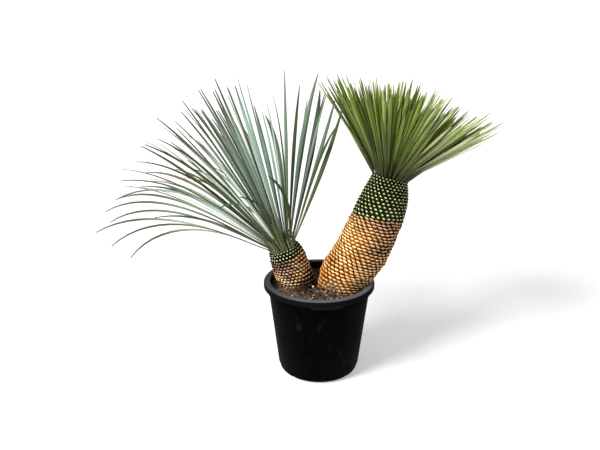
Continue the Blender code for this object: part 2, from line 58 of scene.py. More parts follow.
# The pot, turned about Z
GAP = 0.0003
POT_HEIGHT = 0.312
RIM_RADIUS = 0.18
RIM_INNER = 0.156
RIM_TOP = POT_HEIGHT + 0.003
RIM_ROLL = 0.0075
SKIRT_LOW = POT_HEIGHT - 0.0165
SKIRT_LIP = 0.0012
SKIRT_WALL = 0.0025
SKIRT_CHANNEL = 0.011
CHANNEL_BEND = 0.002
WALL_TOP = 0.1665
WALL_BASE = 0.129
WALL = 0.003
BASE_CORNER = 0.022
TURN_STEPS = 144
# Where the painted highlight on the rim's top dims towards the left
RIM_HIGHLIGHT_DIM_FROM = -0.165
RIM_HIGHLIGHT_DIM_TO = -0.06
STEP_HEIGHT = POT_HEIGHT - 0.036
STEP_SIZE = 0.0009
FOOT_BAND = 0.03
DRAIN_ANGLES = (48, 138, 228, 318)
DRAIN_WIDTH = 0.014
DRAIN_HEIGHT = 0.022
DRAIN_CORNER = 0.003
DRAIN_CUT = 0.06
POT_CREASE = radians(35)
# Where the base corner is rubbed paler
WORN_SPOTS = ((-0.102, -0.062, 0.01), (0.118, -0.04, 0.016))
WORN_REACH = 0.022
# Where the soil is washed out behind a drain slot
HOLLOW_ANGLE = radians(228)
HOLLOW_HALF_WIDTH = radians(5)
HOLLOW_DEPTH = 0.045

# The lower part of the skirt at the front
TAB_FROM = radians(-99.3)
TAB_TO = radians(-64.3)
TAB_LOW = 0.2885
TAB_HIGH = 0.2985
TAB_ROUNDING = 0.006
TAB_INNER = 0.1772
TAB_STEPS = 24

# The soil
SOIL_TOP = 0.288
SOIL_EDGE = 0.149
SOIL_GRID = 0.0016
SOIL_SIDES = 360
# Lumps and crumbs: height, spacing and level of the noise
SOIL_RELIEF = ((0.0022, 0.016, 0.5), (0.0018, 0.005, 3), (0.0012, 0.0024, 7))
MOUND_REACH = 0.03
# Darker soil at the short trunk's foot
DARK_SOIL_PLACE = (-0.046, -0.026, 0.292)
DARK_SOIL_REACH = 0.05
# Paler soil at the left front: painted light where the rim's shadow falls
PAINTED_LIGHT_SOIL_FROM = -0.07
PAINTED_LIGHT_SOIL_TO = -0.01
STONE_PLACE = (-0.0195, -0.004)
STONE_SIZE = (0.0034, 0.007, 0.0034)
STONE_TURN = radians(14)
STONE_CLEARING = 0.016
CHIP_LOOK = dict(cloud=(500, 3, 0.6), roughness=0.85, specular=0.25, relief=(0.4, 0.0004), stretch=(1, 1, 3))
# Chips in stated places: X, Y, size and turn
PLACED_CHIPS = (
    (-0.0854, -0.0773, (0.011, 0.006, 0.002), 0.4),
    (-0.0526, -0.0532, (0.008, 0.005, 0.002), 0.1),
    (-0.0186, -0.0869, (0.01, 0.007, 0.002), 1.3),
    (-0.1338, -0.0318, (0.009, 0.007, 0.002), 0.2),
)

# A trunk's sections from the soil up: centre, radius over the leaf bases, lean to +X and +Y in degrees
TALL_SECTIONS = (
    (0.077, 0, 0.288, 0.079, 0, 0),
    (0.0915, 0.002, 0.339, 0.0835, 14, 2),
    (0.133, 0.006, 0.405, 0.084, 19, 5),
    (0.1795, 0.021, 0.51, 0.082, 10, 8),
    (0.205, 0.035, 0.58, 0.074, 11, 10),
    (0.2224, 0.049, 0.6465, 0.055, 15, 10),
)
SHORT_SECTIONS = (
    (-0.071, 0.03, 0.288, 0.06, 0, 0),
    (-0.0848, 0.03, 0.324, 0.059, -12, 2),
    (-0.0986, 0.028, 0.369, 0.057, -18, 1),
    (-0.1104, 0.025, 0.4, 0.052, -21, 2),
    (-0.1165, 0.023, 0.415, 0.046, -24, 5),
)

# Leaves placed one by one: tilt, turn and roll in degrees, length, bend in degrees, way that the tip
# falls, paleness, share of the full width, twist in degrees, how dark one half is, and bluntness
DOWN = (0, 0, -1)
TALL_PLACED = (
    # Long leaves at the far right, not in the model
    (43.5, -12, 20, 0.35, 1, DOWN, 0.66, 0.95, 20, 0.4, 1.6),
    (46.2, -20, 10, 0.338, 1, DOWN, 0.8, 0.85, -10, -0.3, 1.6),
    (41, -5, 30, 0.325, 1, DOWN, 0.5, 0.9, 20, -0.6, 1.4),
    (37, -10, 30, 0.335, 1, DOWN, 0.3, 0.9, 10, 0.7, 1.4),
)
SHORT_PLACED = (
    # Two bent leaves at the front
    (38.6, -46, 0, 0.293, 55, (-0.97, 0.2, -0.17), 0, 0.9, 40, 0, 3),
    (34.8, -74, 0, 0.298, 50, (-0.6, 0.1, -0.8), 0.05, 0.38, 40, 0, 2),
    # Low leaves on the left
    (43, -137, 0, 0.511, 81, DOWN, 0.75, 0.58, -80, 0.4),
    (42, -144, 0, 0.549, 69, DOWN, 0.45, 0.52, -80, -0.5),
    (42, -156, 0, 0.579, 55, DOWN, 0.8, 0.58, -80, 0.3),
    (39, -174, 0, 0.558, 62, DOWN, 0.4, 0.52, -80, 0.6),
    (38, -182, 0, 0.595, 61, DOWN, 0.6, 0.54, -80, -0.5),
    (41, -200, 0, 0.616, 52, DOWN, 0.5, 0.56, -80, 0.5),
    (28, -149, 0, 0.56, 70, DOWN, 0.9, 0.66, -60, -0.4),
    # Upright leaves on the right
    (27, -32, 50, 0.5, 11, (-0.94, 0, -0.34), 0.1, 0.95, 0, -0.3),
    (25.6, -23, 55, 0.56, 0, DOWN, 0.3, 1.15, 0, -1),
    (32, 40, 25, 0.516, 4, (0.94, 0, -0.34), 0.06, 0.95, 0, -0.3),
    (30.5, -9, 70, 0.547, 11, (0.59, 0, -0.81), 0.38, 1.35, 0, -1),
    (41.6, 35, 80, 0.552, 31, (-0.31, 0, -0.95), 0.38, 1.45, 0, -0.9),
    (40.5, -12, 40, 0.462, 41, (-0.25, 0, -0.97), 0.08, 0.95, 0, -0.3),
    (42.9, 23, 35, 0.512, 35, (-0.29, 0, -0.96), 0.34, 1.05, 0, -1),
    (45.8, -16, 60, 0.5, 7, (-0.93, 0, -0.36), 0.14, 1.15, 0, -0.8),
    (42.8, 73, 30, 0.568, 33, (-0.31, 0, -0.95), 0.6, 1.35, 0, -0.6),
    # Thin leaves, not in the model
    (31.2, 20, 40, 0.456, 6, DOWN, 0.6, 0.6, 0, 0),
    (40.4, 35, 40, 0.514, 10, DOWN, 0.1, 0.6, 0, 0),
    (39.4, 30, 40, 0.5, 9, DOWN, 0.45, 0.55, 0, -0.6),
    (19.2, -10, 40, 0.449, 8, (-0.9, 0, -0.3), 0.75, 0.85, 0, -0.4),
    (16.6, 20, 40, 0.42, 8, (-0.9, 0, -0.3), 0.6, 0.7, 0, 0),
    (10.3, -120, 20, 0.268, 105, DOWN, 0.55, 0.6, 60, 0),
)

# Each value for the tall plant, then for the short one
PLANT_VALUES = dict(
    name=("tall", "short"),
    sections=(TALL_SECTIONS, SHORT_SECTIONS),
    # The soil heaped against one side of the foot
    mound_height=(0.014, 0.016),
    mound_side=(radians(-130), radians(-58)),
    # The leaf bases, their cut ends' size across and up, and their shade
    collar_from=(0.266, 0.109),
    old_rows=(27, 10),
    green_rows=(13, 3),
    old_cut_size=((1, 1), (0.93, 1.06)),
    green_cut_size=((1, 1), (0.9, 1.2)),
    shade_level=(0.46, 0.22),
    shade_right=(1, 0.2),
    # The rule for the leaves that the model has
    seed=(3, 679),
    blades=(190, 140),
    spread=(radians(48), radians(44.1)),
    crowding=(1, 1.155),
    tilt_scatter=(radians(2), radians(4)),
    turn_scatter=(radians(4), radians(4.3)),
    roll_scatter=(radians(25), radians(35)),
    inner_length=(0.345, 0.591),
    outer_length=(0.425, 0.598),
    length_growth=(1.5, 1),
    length_scatter=(0.06, 0.066),
    bend=(0.05, 1.855),
    bend_scatter=(0.5, 0.6),
    bend_lean_power=(1, 4.14),
    bend_along_power=(2, 2.54),
    thin_front=(0, 0.871),
    thin_right=(0, 0.367),
    # Where the rule stops, by heading and by height, and leaves are placed one by one
    placed_from=(1, -0.13),
    lowest_tip=(0, 0.53),
    placed=(TALL_PLACED, SHORT_PLACED),
    # A leaf's widths, and how leaves on the left and the right differ, with painted light and shade on the
    # right
    leaf_width=(0.0088, 0.0155),
    leaf_root_width=(0.0042, 0.0046),
    leaf_tip_width=(0.0018, 0.003),
    widest_at=(0.62, 0.54),
    leaf_growth=(1.15, 1.35),
    leaf_taper=(3, 2.2),
    wide_left=(1.45, 0.64),
    blunt_left=(2.4, 1),
    pale_right=(8, 0),
    tone_spread=(0.9, 0.65),
    # Shorter leaves between them
    extra_seed=(11, 5),
    extra_blades=(330, 20),
    extra_length=(0.84, 0.8),
    extra_from=(1, -0.4),
    extra_up=(-1, 0.56),
    # Leaves or sheaths round the top of the collar
    skirt_seed=(31, 32),
    skirt_length=((0.18, 0.33), (0.045, 0.13)),
    skirt_tilt=((radians(38), radians(46)), (radians(4), radians(26))),
    skirt_bend=(0.02, 0),
    skirt_width=(0.0095, 0.0062),
    skirt_colour_reach=(1, 0.2),
    skirt_side_cut=(0, 0.65),
)
GOLDEN_ANGLE = pi * (3 - sqrt(5))
BLADE_STEPS = 24
ROOT_DEPTH = 0.008
ROOT_SPREAD = 0.97
WIDTH_SCATTER = 0.15
CORE_SKIRT = 0.008
DISC_MARGIN = 0.001
THIN_FROM = 0.3
WIDE_LEFT_FROM = -0.3
EXTRA_TURN = 1
SKIRT_ROOT = 0.003
SKIRT_SINK = 0.004
SKIRT_ROOT_WIDTH = 0.008
SKIRT_TONES = (0, 0.55)
CLEAR_OF_NEIGHBOUR = 0.012
NEIGHBOUR_REACH = 0.35
TURN_ASIDE = radians(3)
TURN_ASIDE_TRIES = 8

# A fine leaf, and its section as shares of the width, across and up
LEAF_STATIONS = 16
LEAF_SECTION = (
    (-0.5, 0.02), (-0.42, 0), (-0.22, -0.075), (0, -0.16), (0.22, -0.075), (0.42, 0),
    (0.5, 0.02), (0.25, -0.14), (0, -0.235), (-0.25, -0.14),
)
LEAF_MARKS = ("along", "tone", "across", "under", "age", "shade")
LEAF_UPPER_POINTS = 7
LEAF_THICKNESS = 0.0003
LEAF_MARGIN = 0.44
LEAF_CREASE = radians(28)
LEAF_TWIST = radians(30)
LEAF_ROOT_EXTRA = 0.01
AGED_LEAN = radians(80)
# Painted light and shade on leaves that head right: from which heading, and the tone that stays
PAINTED_LIGHT_FROM = 0.25
PAINTED_LIGHT_PIVOT = 0.22
HALF_SHADE = 0.78
EDGING = 0.42

# Leaf colours: by tone from dark to pale, then of a leaf's parts
LEAF_LOOKS = dict(
    name=("green_blades", "grey_blades"),
    slot=("green_leaves", "grey_leaves"),
    tones=(
        {
            0: (0.055, 0.088, 0.006), 0.3: (0.109, 0.18, 0.01), 0.6: (0.188, 0.285, 0.021),
            0.85: (0.31, 0.415, 0.05), 1: (0.82, 0.9, 0.5),
        },
        {
            0: (0.024, 0.029, 0.005), 0.2: (0.064, 0.092, 0.032), 0.4: (0.185, 0.29, 0.215),
            0.72: (0.36, 0.52, 0.44), 1: (0.74, 0.85, 0.77),
        },
    ),
    under=(0.25, 0.12),
    base=((0.021, 0.022, 0.004), (0.104, 0.126, 0.04)),
    base_to=(0.74, 0.34),
    long_stalk=(0, 0.34),
    dark_stalk=(0, 0.8),
    dark_half=((0.026, 0.038, 0.005), (0.034, 0.049, 0.016)),
    patching=(0.26, 0.1),
    margin=((0.66, 0.7, 0.26), (0.74, 0.76, 0.64)),
    turning=((0.26, 0.3, 0.05), (0.44, 0.35, 0.22)),
    tip=((0.15, 0.2, 0.024), (0.034, 0.042, 0.012)),
    old_tip=((0.12, 0.12, 0.02), (0.078, 0.056, 0.02)),
    tip_from=(0.8, 0.58),
    tip_to=(0.99, 0.88),
    ageing=(0.06, 0.4),
    ripe=(0.6, 0.9),
    gloss=(0.4, 0.45),
)

# The old leaf bases, then the green ones. A ring: outward from the nominal radius, half width as a
# share of the lattice's, half height and lift as shares of the row pitch, and the corners' roundness
STUB_SHAPES = dict(
    rings=(
        (
            (-0.006, 1, 0.99, 0, 1.05),
            (-0.0022, 0.98, 0.8, 0.12, 1.1),
            (0.0006, 0.98, 0.46, 0.36, 1.2),
            (0.0022, 0.95, 0.26, 0.52, 1.35),
        ),
        (
            (-0.006, 1, 0.99, 0, 1.05),
            (-0.0025, 0.93, 0.78, 0.15, 1.1),
            (0.0004, 0.82, 0.44, 0.38, 1.3),
            (0.0022, 0.54, 0.19, 0.54, 1.6),
        ),
    ),
    seed=(21, 22),
    face_inset=(0.9, 0.86),
    ragged=(0.001, 0.0003),
    skew=(-0.1, -0.2),
    wave=(0.42, 0.12),
    shrink=(0, 0.2),
)
COLUMNS = 30
GREEN_SQUEEZE = 0.72
FIRST_ROW_ABOVE_SOIL = 0.0042
STUB_MARKS = ("cut", "out", "tone", "below", "stain_and_shade")
STUB_POINTS = 12
STUB_TURN_SCATTER = 0.006
STUB_WIDTH_SCATTER = 0.04
STUB_SCATTER = 0.05
STUB_FACE_RISE = 0.0003
STUB_FACE_DISH = 0.0004
STUB_FACE_CURVE = 0.15
STUB_WAVE = 0.042
STAIN_SIZE = 0.034
# Darker places on the tall trunk: centre and half sizes
STAIN_SPOTS = (
    ((0.184, -0.06, 0.436), (0.05, 0.06, 0.013)),
    ((0.14, -0.07, 0.318), (0.04, 0.05, 0.014)),
)
CORE_SINK = 0.0048
CORE_STEPS = 24
CORE_SIDES = 48

# Leaf base colours, in the light and in the shade, and the soil heaped against them
OLD_BASE_LOOKS = dict(
    name=("old_bases", "short_old_bases"),
    lit_gap=((0.28, 0.085, 0.01), (0.05, 0.01, 0.002)),
    shaded_gap=((0.012, 0.002, 0.0007),) * 2,
    bodies=(
        {0: (0.46, 0.128, 0.018), 0.5: (0.64, 0.242, 0.038), 1: (0.8, 0.4, 0.09)},
        {0: (0.46, 0.074, 0.01), 0.5: (0.8, 0.18, 0.028), 1: (0.99, 0.37, 0.08)},
    ),
    cuts=(
        {0: (0.82, 0.48, 0.16), 0.5: (0.97, 0.74, 0.32), 1: (0.99, 0.9, 0.56)},
        {0: (1, 0.6, 0.2), 0.5: (1, 0.88, 0.46), 1: (1, 0.99, 0.74)},
    ),
    weathered_cut=((0.62, 0.265, 0.18), (0.92, 0.42, 0.22)),
    weathering=(0.56, 0.34),
    staining=(0.96,) * 2,
    heap_top=((0.034, -0.07, 0.293), (-0.04, -0.026, 0.292)),
    heap_reach=(0.05, 0.037),
    heap=(
        {0.42: (0.03, 0.015, 0.008), 0.5: (0.22, 0.125, 0.055), 0.58: (0.76, 0.53, 0.29)},
        {0.42: (0.01, 0.005, 0.003), 0.54: (0.04, 0.022, 0.013), 0.64: (0.3, 0.2, 0.12)},
    ),
)
# The short collar's gaps and bodies are darker than the tall one's: painted shade under its head
GREEN_BASE_LOOKS = dict(
    name=("green_bases", "short_shaded_green_bases"),
    lit_gap=((0.012, 0.017, 0.002), (0.006, 0.008, 0.0012)),
    shaded_gap=((0.005, 0.008, 0.0008),) * 2,
    bodies=(
        {0: (0.034, 0.049, 0.004), 0.5: (0.074, 0.1, 0.009), 1: (0.16, 0.195, 0.022)},
        {0: (0.018, 0.03, 0.003), 0.5: (0.042, 0.06, 0.005), 1: (0.095, 0.11, 0.014)},
    ),
    cuts=(
        {0: (0.5, 0.53, 0.28), 0.5: (0.71, 0.73, 0.5), 1: (0.88, 0.88, 0.72)},
        {0: (0.62, 0.62, 0.4), 0.5: (0.84, 0.84, 0.66), 1: (0.96, 0.96, 0.86)},
    ),
    weathered_cut=((0.5, 0.52, 0.32),) * 2,
    weathering=(0.3, 0.15),
    staining=(0,) * 2,
    heap=(None,) * 2,
)
# Colours that the stain mark gives, for real stains and painted shade alike
STAIN_AND_SHADE_COLOUR = (0.016, 0.0052, 0.004)
STAIN_AND_SHADE_GAP = (0.008, 0.0032, 0.0025)
STAIN_AND_SHADE_CUT = (0.255, 0.165, 0.13)
SOILED_COLOUR = (0.03, 0.017, 0.011)
SOILED_TOP = SOIL_TOP + 0.019
SOILED_FULL = SOIL_TOP + 0.004


def clamp(value, low=0, high=1):
    return min(high, max(low, value))


def chosen(table, side):
    """The first (0) or the second (1) values of a table of pairs."""
    return SimpleNamespace(**{key: pair[side] for key, pair in table.items()})


def add_object(name, data):
    obj = bpy.data.objects.new(name, data)
    bpy.context.scene.collection.objects.link(obj)
    return obj


def object_from(name, points, faces):
    """A smooth object from lists of points and faces."""
    mesh = bpy.data.meshes.new(name)
    mesh.from_pydata(points, [], faces)
    mesh.update()
    mesh.shade_smooth()
    return add_object(name, mesh)


def object_from_bmesh(name, bm):
    mesh = bpy.data.meshes.new(name)
    bm.to_mesh(mesh)
    bm.free()
    return add_object(name, mesh)


def add_marks(obj, names, rows):
    """Named numbers on each point, which a material reads."""
    for name, values in zip(names, zip(*rows)):
        attribute = obj.data.attributes.new(name, "FLOAT", "POINT")
        attribute.data.foreach_set("value", values)


def tube(first, size, levels, flip=False):
    """Faces round a stack of rings of points, and the ones that close its ends."""
    sides = []
    for one in range(first, first + (levels - 1) * size, size):
        two = one + size
        for index in range(size):
            following = (index + 1) % size
            sides.append((one + index, one + following, two + following, two + index))
    start = tuple(reversed(range(first, first + size)))
    end = tuple(range(first + (levels - 1) * size, first + levels * size))
    if flip:
        return [(a, d, c, b) for a, b, c, d in sides], start[::-1], end[::-1]
    return sides, start, end


def fan(middle, ring):
    """Triangles from a middle point to a ring of points."""
    return [(middle, one, two) for one, two in zip(ring, ring[1:] + ring[:1])]


def place(obj, node, slot, material):
    """Puts the piece on the one body, in place of its solid."""
    obj.data.materials.append(material)
    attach(obj, "root")
    if node:
        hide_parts(node)


class Paint:
    """Builds the nodes of one material, or of the surround."""

    def __init__(self, name, kind="materials"):
        self.data = getattr(bpy.data, kind).new(name)
        self.data.use_nodes = True
        self.tree = self.data.node_tree

    def feed(self, node, inputs):
        """Gives a node's inputs constants or other nodes' outputs."""
        for key, value in inputs.items():
            socket = node.inputs[key]
            if isinstance(value, bpy.types.NodeSocket):
                self.tree.links.new(value, socket)
            elif socket.type == "RGBA":
                socket.default_value = (*value, 1)
            else:
                socket.default_value = value

    def add(self, kind, inputs, output=0, **settings):
        """A new node's output."""
        made = self.tree.nodes.new("ShaderNode" + kind)
        for key, value in settings.items():
            setattr(made, key, value)
        self.feed(made, inputs)
        return made.outputs[output]

    def attributes(self, *names):
        return [self.add("Attribute", {}, "Fac", attribute_name=name) for name in names]

    def place(self, scale=(1, 1, 1), output="Object"):
        """Object or UV coordinates, stretched."""
        return self.add("Mapping", {"Vector": self.add("TexCoord", {}, output), "Scale": scale})

    def axis(self, vector, name):
        return self.add("SeparateXYZ", {"Vector": vector}, name)

    def noise(self, vector, scale, detail=3, roughness=0.55):
        inputs = {"Vector": vector, "Scale": scale, "Detail": detail, "Roughness": roughness}
        return self.add("TexNoise", inputs, "Fac")

    def ramp(self, factor, stops):
        """A colour ramp from a table of colours by position."""
        colour = self.add("ValToRGB", {"Fac": factor}, "Color")
        elements = colour.node.color_ramp.elements
        while len(elements) < len(stops):
            elements.new(0.5)
        for element, (position, stop) in zip(elements, stops.items()):
            element.position = position
            element.color = (*stop, 1)
        return colour

    def range(self, value, low, high, to_high=1, to_low=0):
        inputs = {"Value": value, "From Min": low, "From Max": high, "To Min": to_low, "To Max": to_high}
        return self.add("MapRange", inputs)

    def near(self, vector, spot, reach, full_share, full):
        """A mask that starts at the reach round a spot and is full at a share of it."""
        away = self.add("VectorMath", {0: vector, 1: spot}, "Value", operation="DISTANCE")
        return self.range(away, reach, reach * full_share, full)

    def math(self, kind, one, two=0):
        return self.add("Math", {0: one, 1: two}, operation=kind)

    def times(self, one, two):
        return self.math("MULTIPLY", one, two)

    def mix(self, factor, one, two):
        """Mixes two colours or sockets."""
        return self.add("Mix", {0: factor, 6: one, 7: two}, 2, data_type="RGBA")

    def over(self, one, two, value, low, high, full=1):
        """The first colour where a value is at low, and the second at high."""
        return self.mix(self.range(value, low, high, full), one, two)

    def done(self, colour, roughness, specular=0.5, relief=None, **more):
        """Feeds the shader; relief is height, strength and distance."""
        inputs = {"Base Color": colour, "Roughness": roughness, "Specular IOR Level": specular}
        if relief:
            height, strength, distance = relief
            bump = {"Height": height, "Strength": strength, "Distance": distance}
            inputs["Normal"] = self.add("Bump", bump, "Normal")
        for key, value in more.items():
            inputs[key.replace("_", " ")] = value
        self.feed(self.tree.nodes["Principled BSDF"], inputs)
        return self.data


def cloudy_material(
    name, one, two, cloud, roughness, specular=0.5, relief=None, low=0.3, stretch=(1, 1, 1), **more
):
    """Two colours in a cloud of a stated scale, detail and roughness."""
    paint = Paint(name)
    height = paint.noise(paint.place(stretch), *cloud)
    colour = paint.over(one, two, height, low, 0.7)
    return paint.done(colour, roughness, specular, relief and (height, *relief), **more)


# The growth rules, as in the model


def smooth_row(rows, position):
    """The values at a position on a Catmull-Rom curve through rows."""
    last = len(rows) - 1
    index = min(int(position), last - 1)
    share = position - index
    square = share * share
    cube = square * share
    values = []
    for a, b, c, d in zip(*(rows[clamp(index + step, 0, last)] for step in (-1, 0, 1, 2))):
        value = b * (2 * cube - 3 * square + 1) + c * (3 * square - 2 * cube)
        slopes = (c - a) / 2 * (cube - 2 * square + share) + (d - b) / 2 * (cube - square)
        values.append(value + slopes)
    return values


def direction(lean_right, lean_back):
    """The unit vector that leans from +Z towards +X and +Y, in degrees."""
    right = radians(lean_right)
    back = radians(lean_back)
    return Vector((sin(right), cos(right) * sin(back), cos(right) * cos(back)))


def turned(across, back, angle):
    """The unit vectors outward and sideways at an angle round an axis."""
    return cos(angle) * across + sin(angle) * back, cos(angle) * back - sin(angle) * across


class Trunk:
    """Sections along one trunk, found by their distance from the soil."""

    FINE = 240

    def __init__(self, rows):
        last = len(rows) - 1
        self.rows = [smooth_row(rows, last * step / self.FINE) for step in range(self.FINE + 1)]
        steps = [(Vector(two[:3]) - Vector(one[:3])).length for one, two in zip(self.rows, self.rows[1:])]
        self.distances = list(accumulate(steps, initial=0))
        self.length = self.distances[-1]

    def section(self, distance):
        """Centre, unit vectors across, back and along, and radius."""
        index = min(bisect_left(self.distances, distance, 1), self.FINE) - 1
        start, end = self.distances[index], self.distances[index + 1]
        share = (distance - start) / (end - start)
        pair = zip(self.rows[index], self.rows[index + 1])
        x, y, z, radius, lean_right, lean_back = [one + (two - one) * share for one, two in pair]
        along = direction(lean_right, lean_back)
        across = Vector((0, 1, 0)).cross(along).normalized()
        return Vector((x, y, z)), across, along.cross(across), along, radius


def grown(side):
    """The tall plant (0) or the short one (1), with its trunk."""
    plant = chosen(PLANT_VALUES, side)
    plant.trunk = Trunk(plant.sections)
    plant.leaf_look = chosen(LEAF_LOOKS, side)
    plant.old_look = chosen(OLD_BASE_LOOKS, side)
    plant.green_look = chosen(GREEN_BASE_LOOKS, side)
    return plant


TALL = grown(0)
SHORT = grown(1)
OLD_STUB = chosen(STUB_SHAPES, 0)
GREEN_STUB = chosen(STUB_SHAPES, 1)


def row_distances(start, end, rows, squeeze):
    """Where rows lie between two distances; a squeeze below 1 packs the last ones closer."""
    pitches = [1 + (squeeze - 1) * row / (rows - 1) for row in range(rows)]
    return list(accumulate(((end - start) * pitch / sum(pitches) for pitch in pitches), initial=start))


class Blade(SimpleNamespace):
    """One leaf, which bends along its length; its look is tone, twist and how dark one half is."""

    fall = DOWN
    look = None
    blunt = 1
    colour_reach = 1

    def frames(self, shares):
        """Place, heading and side vector at each share of the length."""
        hinge = self.heading.cross(Vector(self.fall)).normalized()
        power = self.plant.bend_along_power
        halves = [self.bend * (half / 2 / BLADE_STEPS) ** power for half in range(2 * BLADE_STEPS + 1)]
        turns = halves[::2]
        places = [self.root.copy()]
        for turn in halves[1::2]:
            heading = Quaternion(hinge, turn) @ self.heading
            places.append(places[-1] + heading * self.length / BLADE_STEPS)
        found = []
        for share in shares:
            index = min(int(share * BLADE_STEPS), BLADE_STEPS - 1)
            part = share * BLADE_STEPS - index
            rotation = Quaternion(hinge, turns[index] + (turns[index + 1] - turns[index]) * part)
            place = places[index].lerp(places[index + 1], part)
            found.append((place, rotation @ self.heading, rotation @ self.side))
        return found

    def width_at(self, share):
        """Narrow at the root, widest near the middle, drawn out to a point."""
        plant = self.plant
        if share <= plant.widest_at:
            inner = share / plant.widest_at
            growth = inner ** plant.leaf_growth * (1.5 - 0.5 * inner)
            return self.root_width + (self.width - self.root_width) * growth
        outer = (share - plant.widest_at) / (1 - plant.widest_at)
        tip = plant.leaf_tip_width
        return tip + (self.width - tip) * (1 - outer ** (plant.leaf_taper * self.blunt))


def crown_place(plant):
    """The point that a head's leaves radiate from, its axes and its core's radius."""
    top, across, back, along, radius = plant.trunk.section(plant.trunk.length)
    disc = radius - DISC_MARGIN
    centre = top + along * (GAP + CORE_SKIRT - disc / tan(plant.spread))
    return centre, across, back, along, disc / sin(plant.spread)


def rooted_blade(plant, crown, tilt, turn, roll, length, width, **more):
    """A leaf whose root is inside the head's core."""
    centre, across, back, along, core_radius = crown
    outward, side = turned(across, back, turn)
    root_tilt = min(tilt, plant.spread * ROOT_SPREAD)
    root_way = cos(root_tilt) * along + sin(root_tilt) * outward
    upper_face = sin(tilt) * along - cos(tilt) * outward
    return Blade(
        plant=plant,
        root=centre + root_way * (core_radius - ROOT_DEPTH),
        heading=cos(tilt) * along + sin(tilt) * outward,
        side=cos(roll) * side + sin(roll) * upper_face,
        length=length,
        width=width,
        root_width=plant.leaf_root_width,
        **more,
    )


def ruled_blades(plant, seed, count, turn_offset=0, length_share=1):
    """Leaves of one head, at the golden angle round its axis."""
    draw = random.Random(seed)
    crown = crown_place(plant)
    blades = []
    for index in range(count):
        share = (index + 0.5) / count
        draws = [draw.uniform(-1, 1) for _ in range(7)]
        tilt_draw, turn_draw, length_draw, bend_draw, width_draw, keep_draw, roll_draw = draws
        tilt = acos(1 - (1 - cos(plant.spread)) * share ** plant.crowding)
        tilt = max(0, tilt + plant.tilt_scatter * tilt_draw)
        turn = index * GOLDEN_ANGLE + plant.turn_scatter * turn_draw + turn_offset
        keep = (keep_draw + 1) / 2
        if -sin(turn) * sin(tilt) > THIN_FROM and keep < plant.thin_front:
            continue
        if cos(turn) * sin(tilt) > 0 and keep < plant.thin_right:
            continue
        growth = share ** plant.length_growth
        length = plant.inner_length + (plant.outer_length - plant.inner_length) * growth
        length = (length * (1 + plant.length_scatter * length_draw) - crown[-1]) * length_share
        width = plant.leaf_width * (1 + WIDTH_SCATTER * width_draw)
        blade = rooted_blade(plant, crown, tilt, turn, plant.roll_scatter * roll_draw, length, width)
        lean = acos(clamp(blade.heading.z, -1, 1))
        blade.bend = plant.bend * (1 + plant.bend_scatter * bend_draw) * sin(lean) ** plant.bend_lean_power
        if blade.heading.x < WIDE_LEFT_FROM:
            blade.width *= plant.wide_left
            blade.blunt = plant.blunt_left
        if blade.heading.x < plant.placed_from and blade.frames((1,))[0][0].z > plant.lowest_tip:
            blades.append(blade)
    return blades


def placed_blades(plant):
    """Leaves that are placed one by one."""
    crown = crown_place(plant)
    blades = []
    for tilt, turn, roll, length, bend, fall, tone, share, twist, shade, *blunt in plant.placed:
        blades.append(rooted_blade(
            plant, crown, radians(tilt), radians(turn), radians(roll), length, plant.leaf_width * share,
            bend=radians(bend), fall=fall, look=(tone, radians(twist), shade), blunt=(*blunt, 1)[0],
        ))
    return blades


def extra_blades(plant):
    """Shorter leaves between the ones that the model has."""
    blades = ruled_blades(plant, plant.extra_seed, plant.extra_blades, EXTRA_TURN, plant.extra_length)
    extra_from, extra_up = plant.extra_from, plant.extra_up
    return [blade for blade in blades if blade.heading.x < extra_from and blade.heading.z > extra_up]


def skirt_blades(plant):
    """Leaves or short sheaths whose wide bases clothe the top of the collar."""
    draw = random.Random(plant.skirt_seed)
    centre, across, back, along, radius = plant.trunk.section(plant.trunk.length)
    blades = []
    for column in range(COLUMNS):
        outward, side = turned(across, back, tau * (column + 0.5) / COLUMNS + draw.gauss(0, 0.03))
        side_cut = 1 - plant.skirt_side_cut * abs(outward.x)
        tilt = draw.uniform(*plant.skirt_tilt) * side_cut
        blades.append(Blade(
            plant=plant,
            root=centre + outward * (radius - SKIRT_ROOT) - along * SKIRT_SINK,
            heading=cos(tilt) * along + sin(tilt) * outward,
            side=side,
            length=draw.uniform(*plant.skirt_length) * side_cut,
            bend=plant.skirt_bend,
            width=plant.skirt_width,
            root_width=SKIRT_ROOT_WIDTH,
            colour_reach=plant.skirt_colour_reach,
            look=(draw.uniform(*SKIRT_TONES), 0, draw.uniform(-1, 1)),
        ))
    return blades


def turn_clear(blades, neighbours):
    """Turns leaves that would cross the other head to its front, and drops the last few."""
    shares = [step / BLADE_STEPS for step in range(BLADE_STEPS + 1)]
    lines = [[frame[0] for frame in blade.frames(shares)] for blade in neighbours]
    kept = []
    for blade in blades:
        for _ in range(TURN_ASIDE_TRIES):
            path = [frame[0] for frame in blade.frames(shares)]
            close = [line for line in lines if (line[-1] - path[-1]).length < NEIGHBOUR_REACH]
            if all((a - b).length > CLEAR_OF_NEIGHBOUR for line in close for a in path for b in line):
                kept.append(blade)
                break
            aside = Quaternion((1, 0, 0), TURN_ASIDE)
            blade.heading = aside @ blade.heading
            blade.side = aside @ blade.side
    return kept


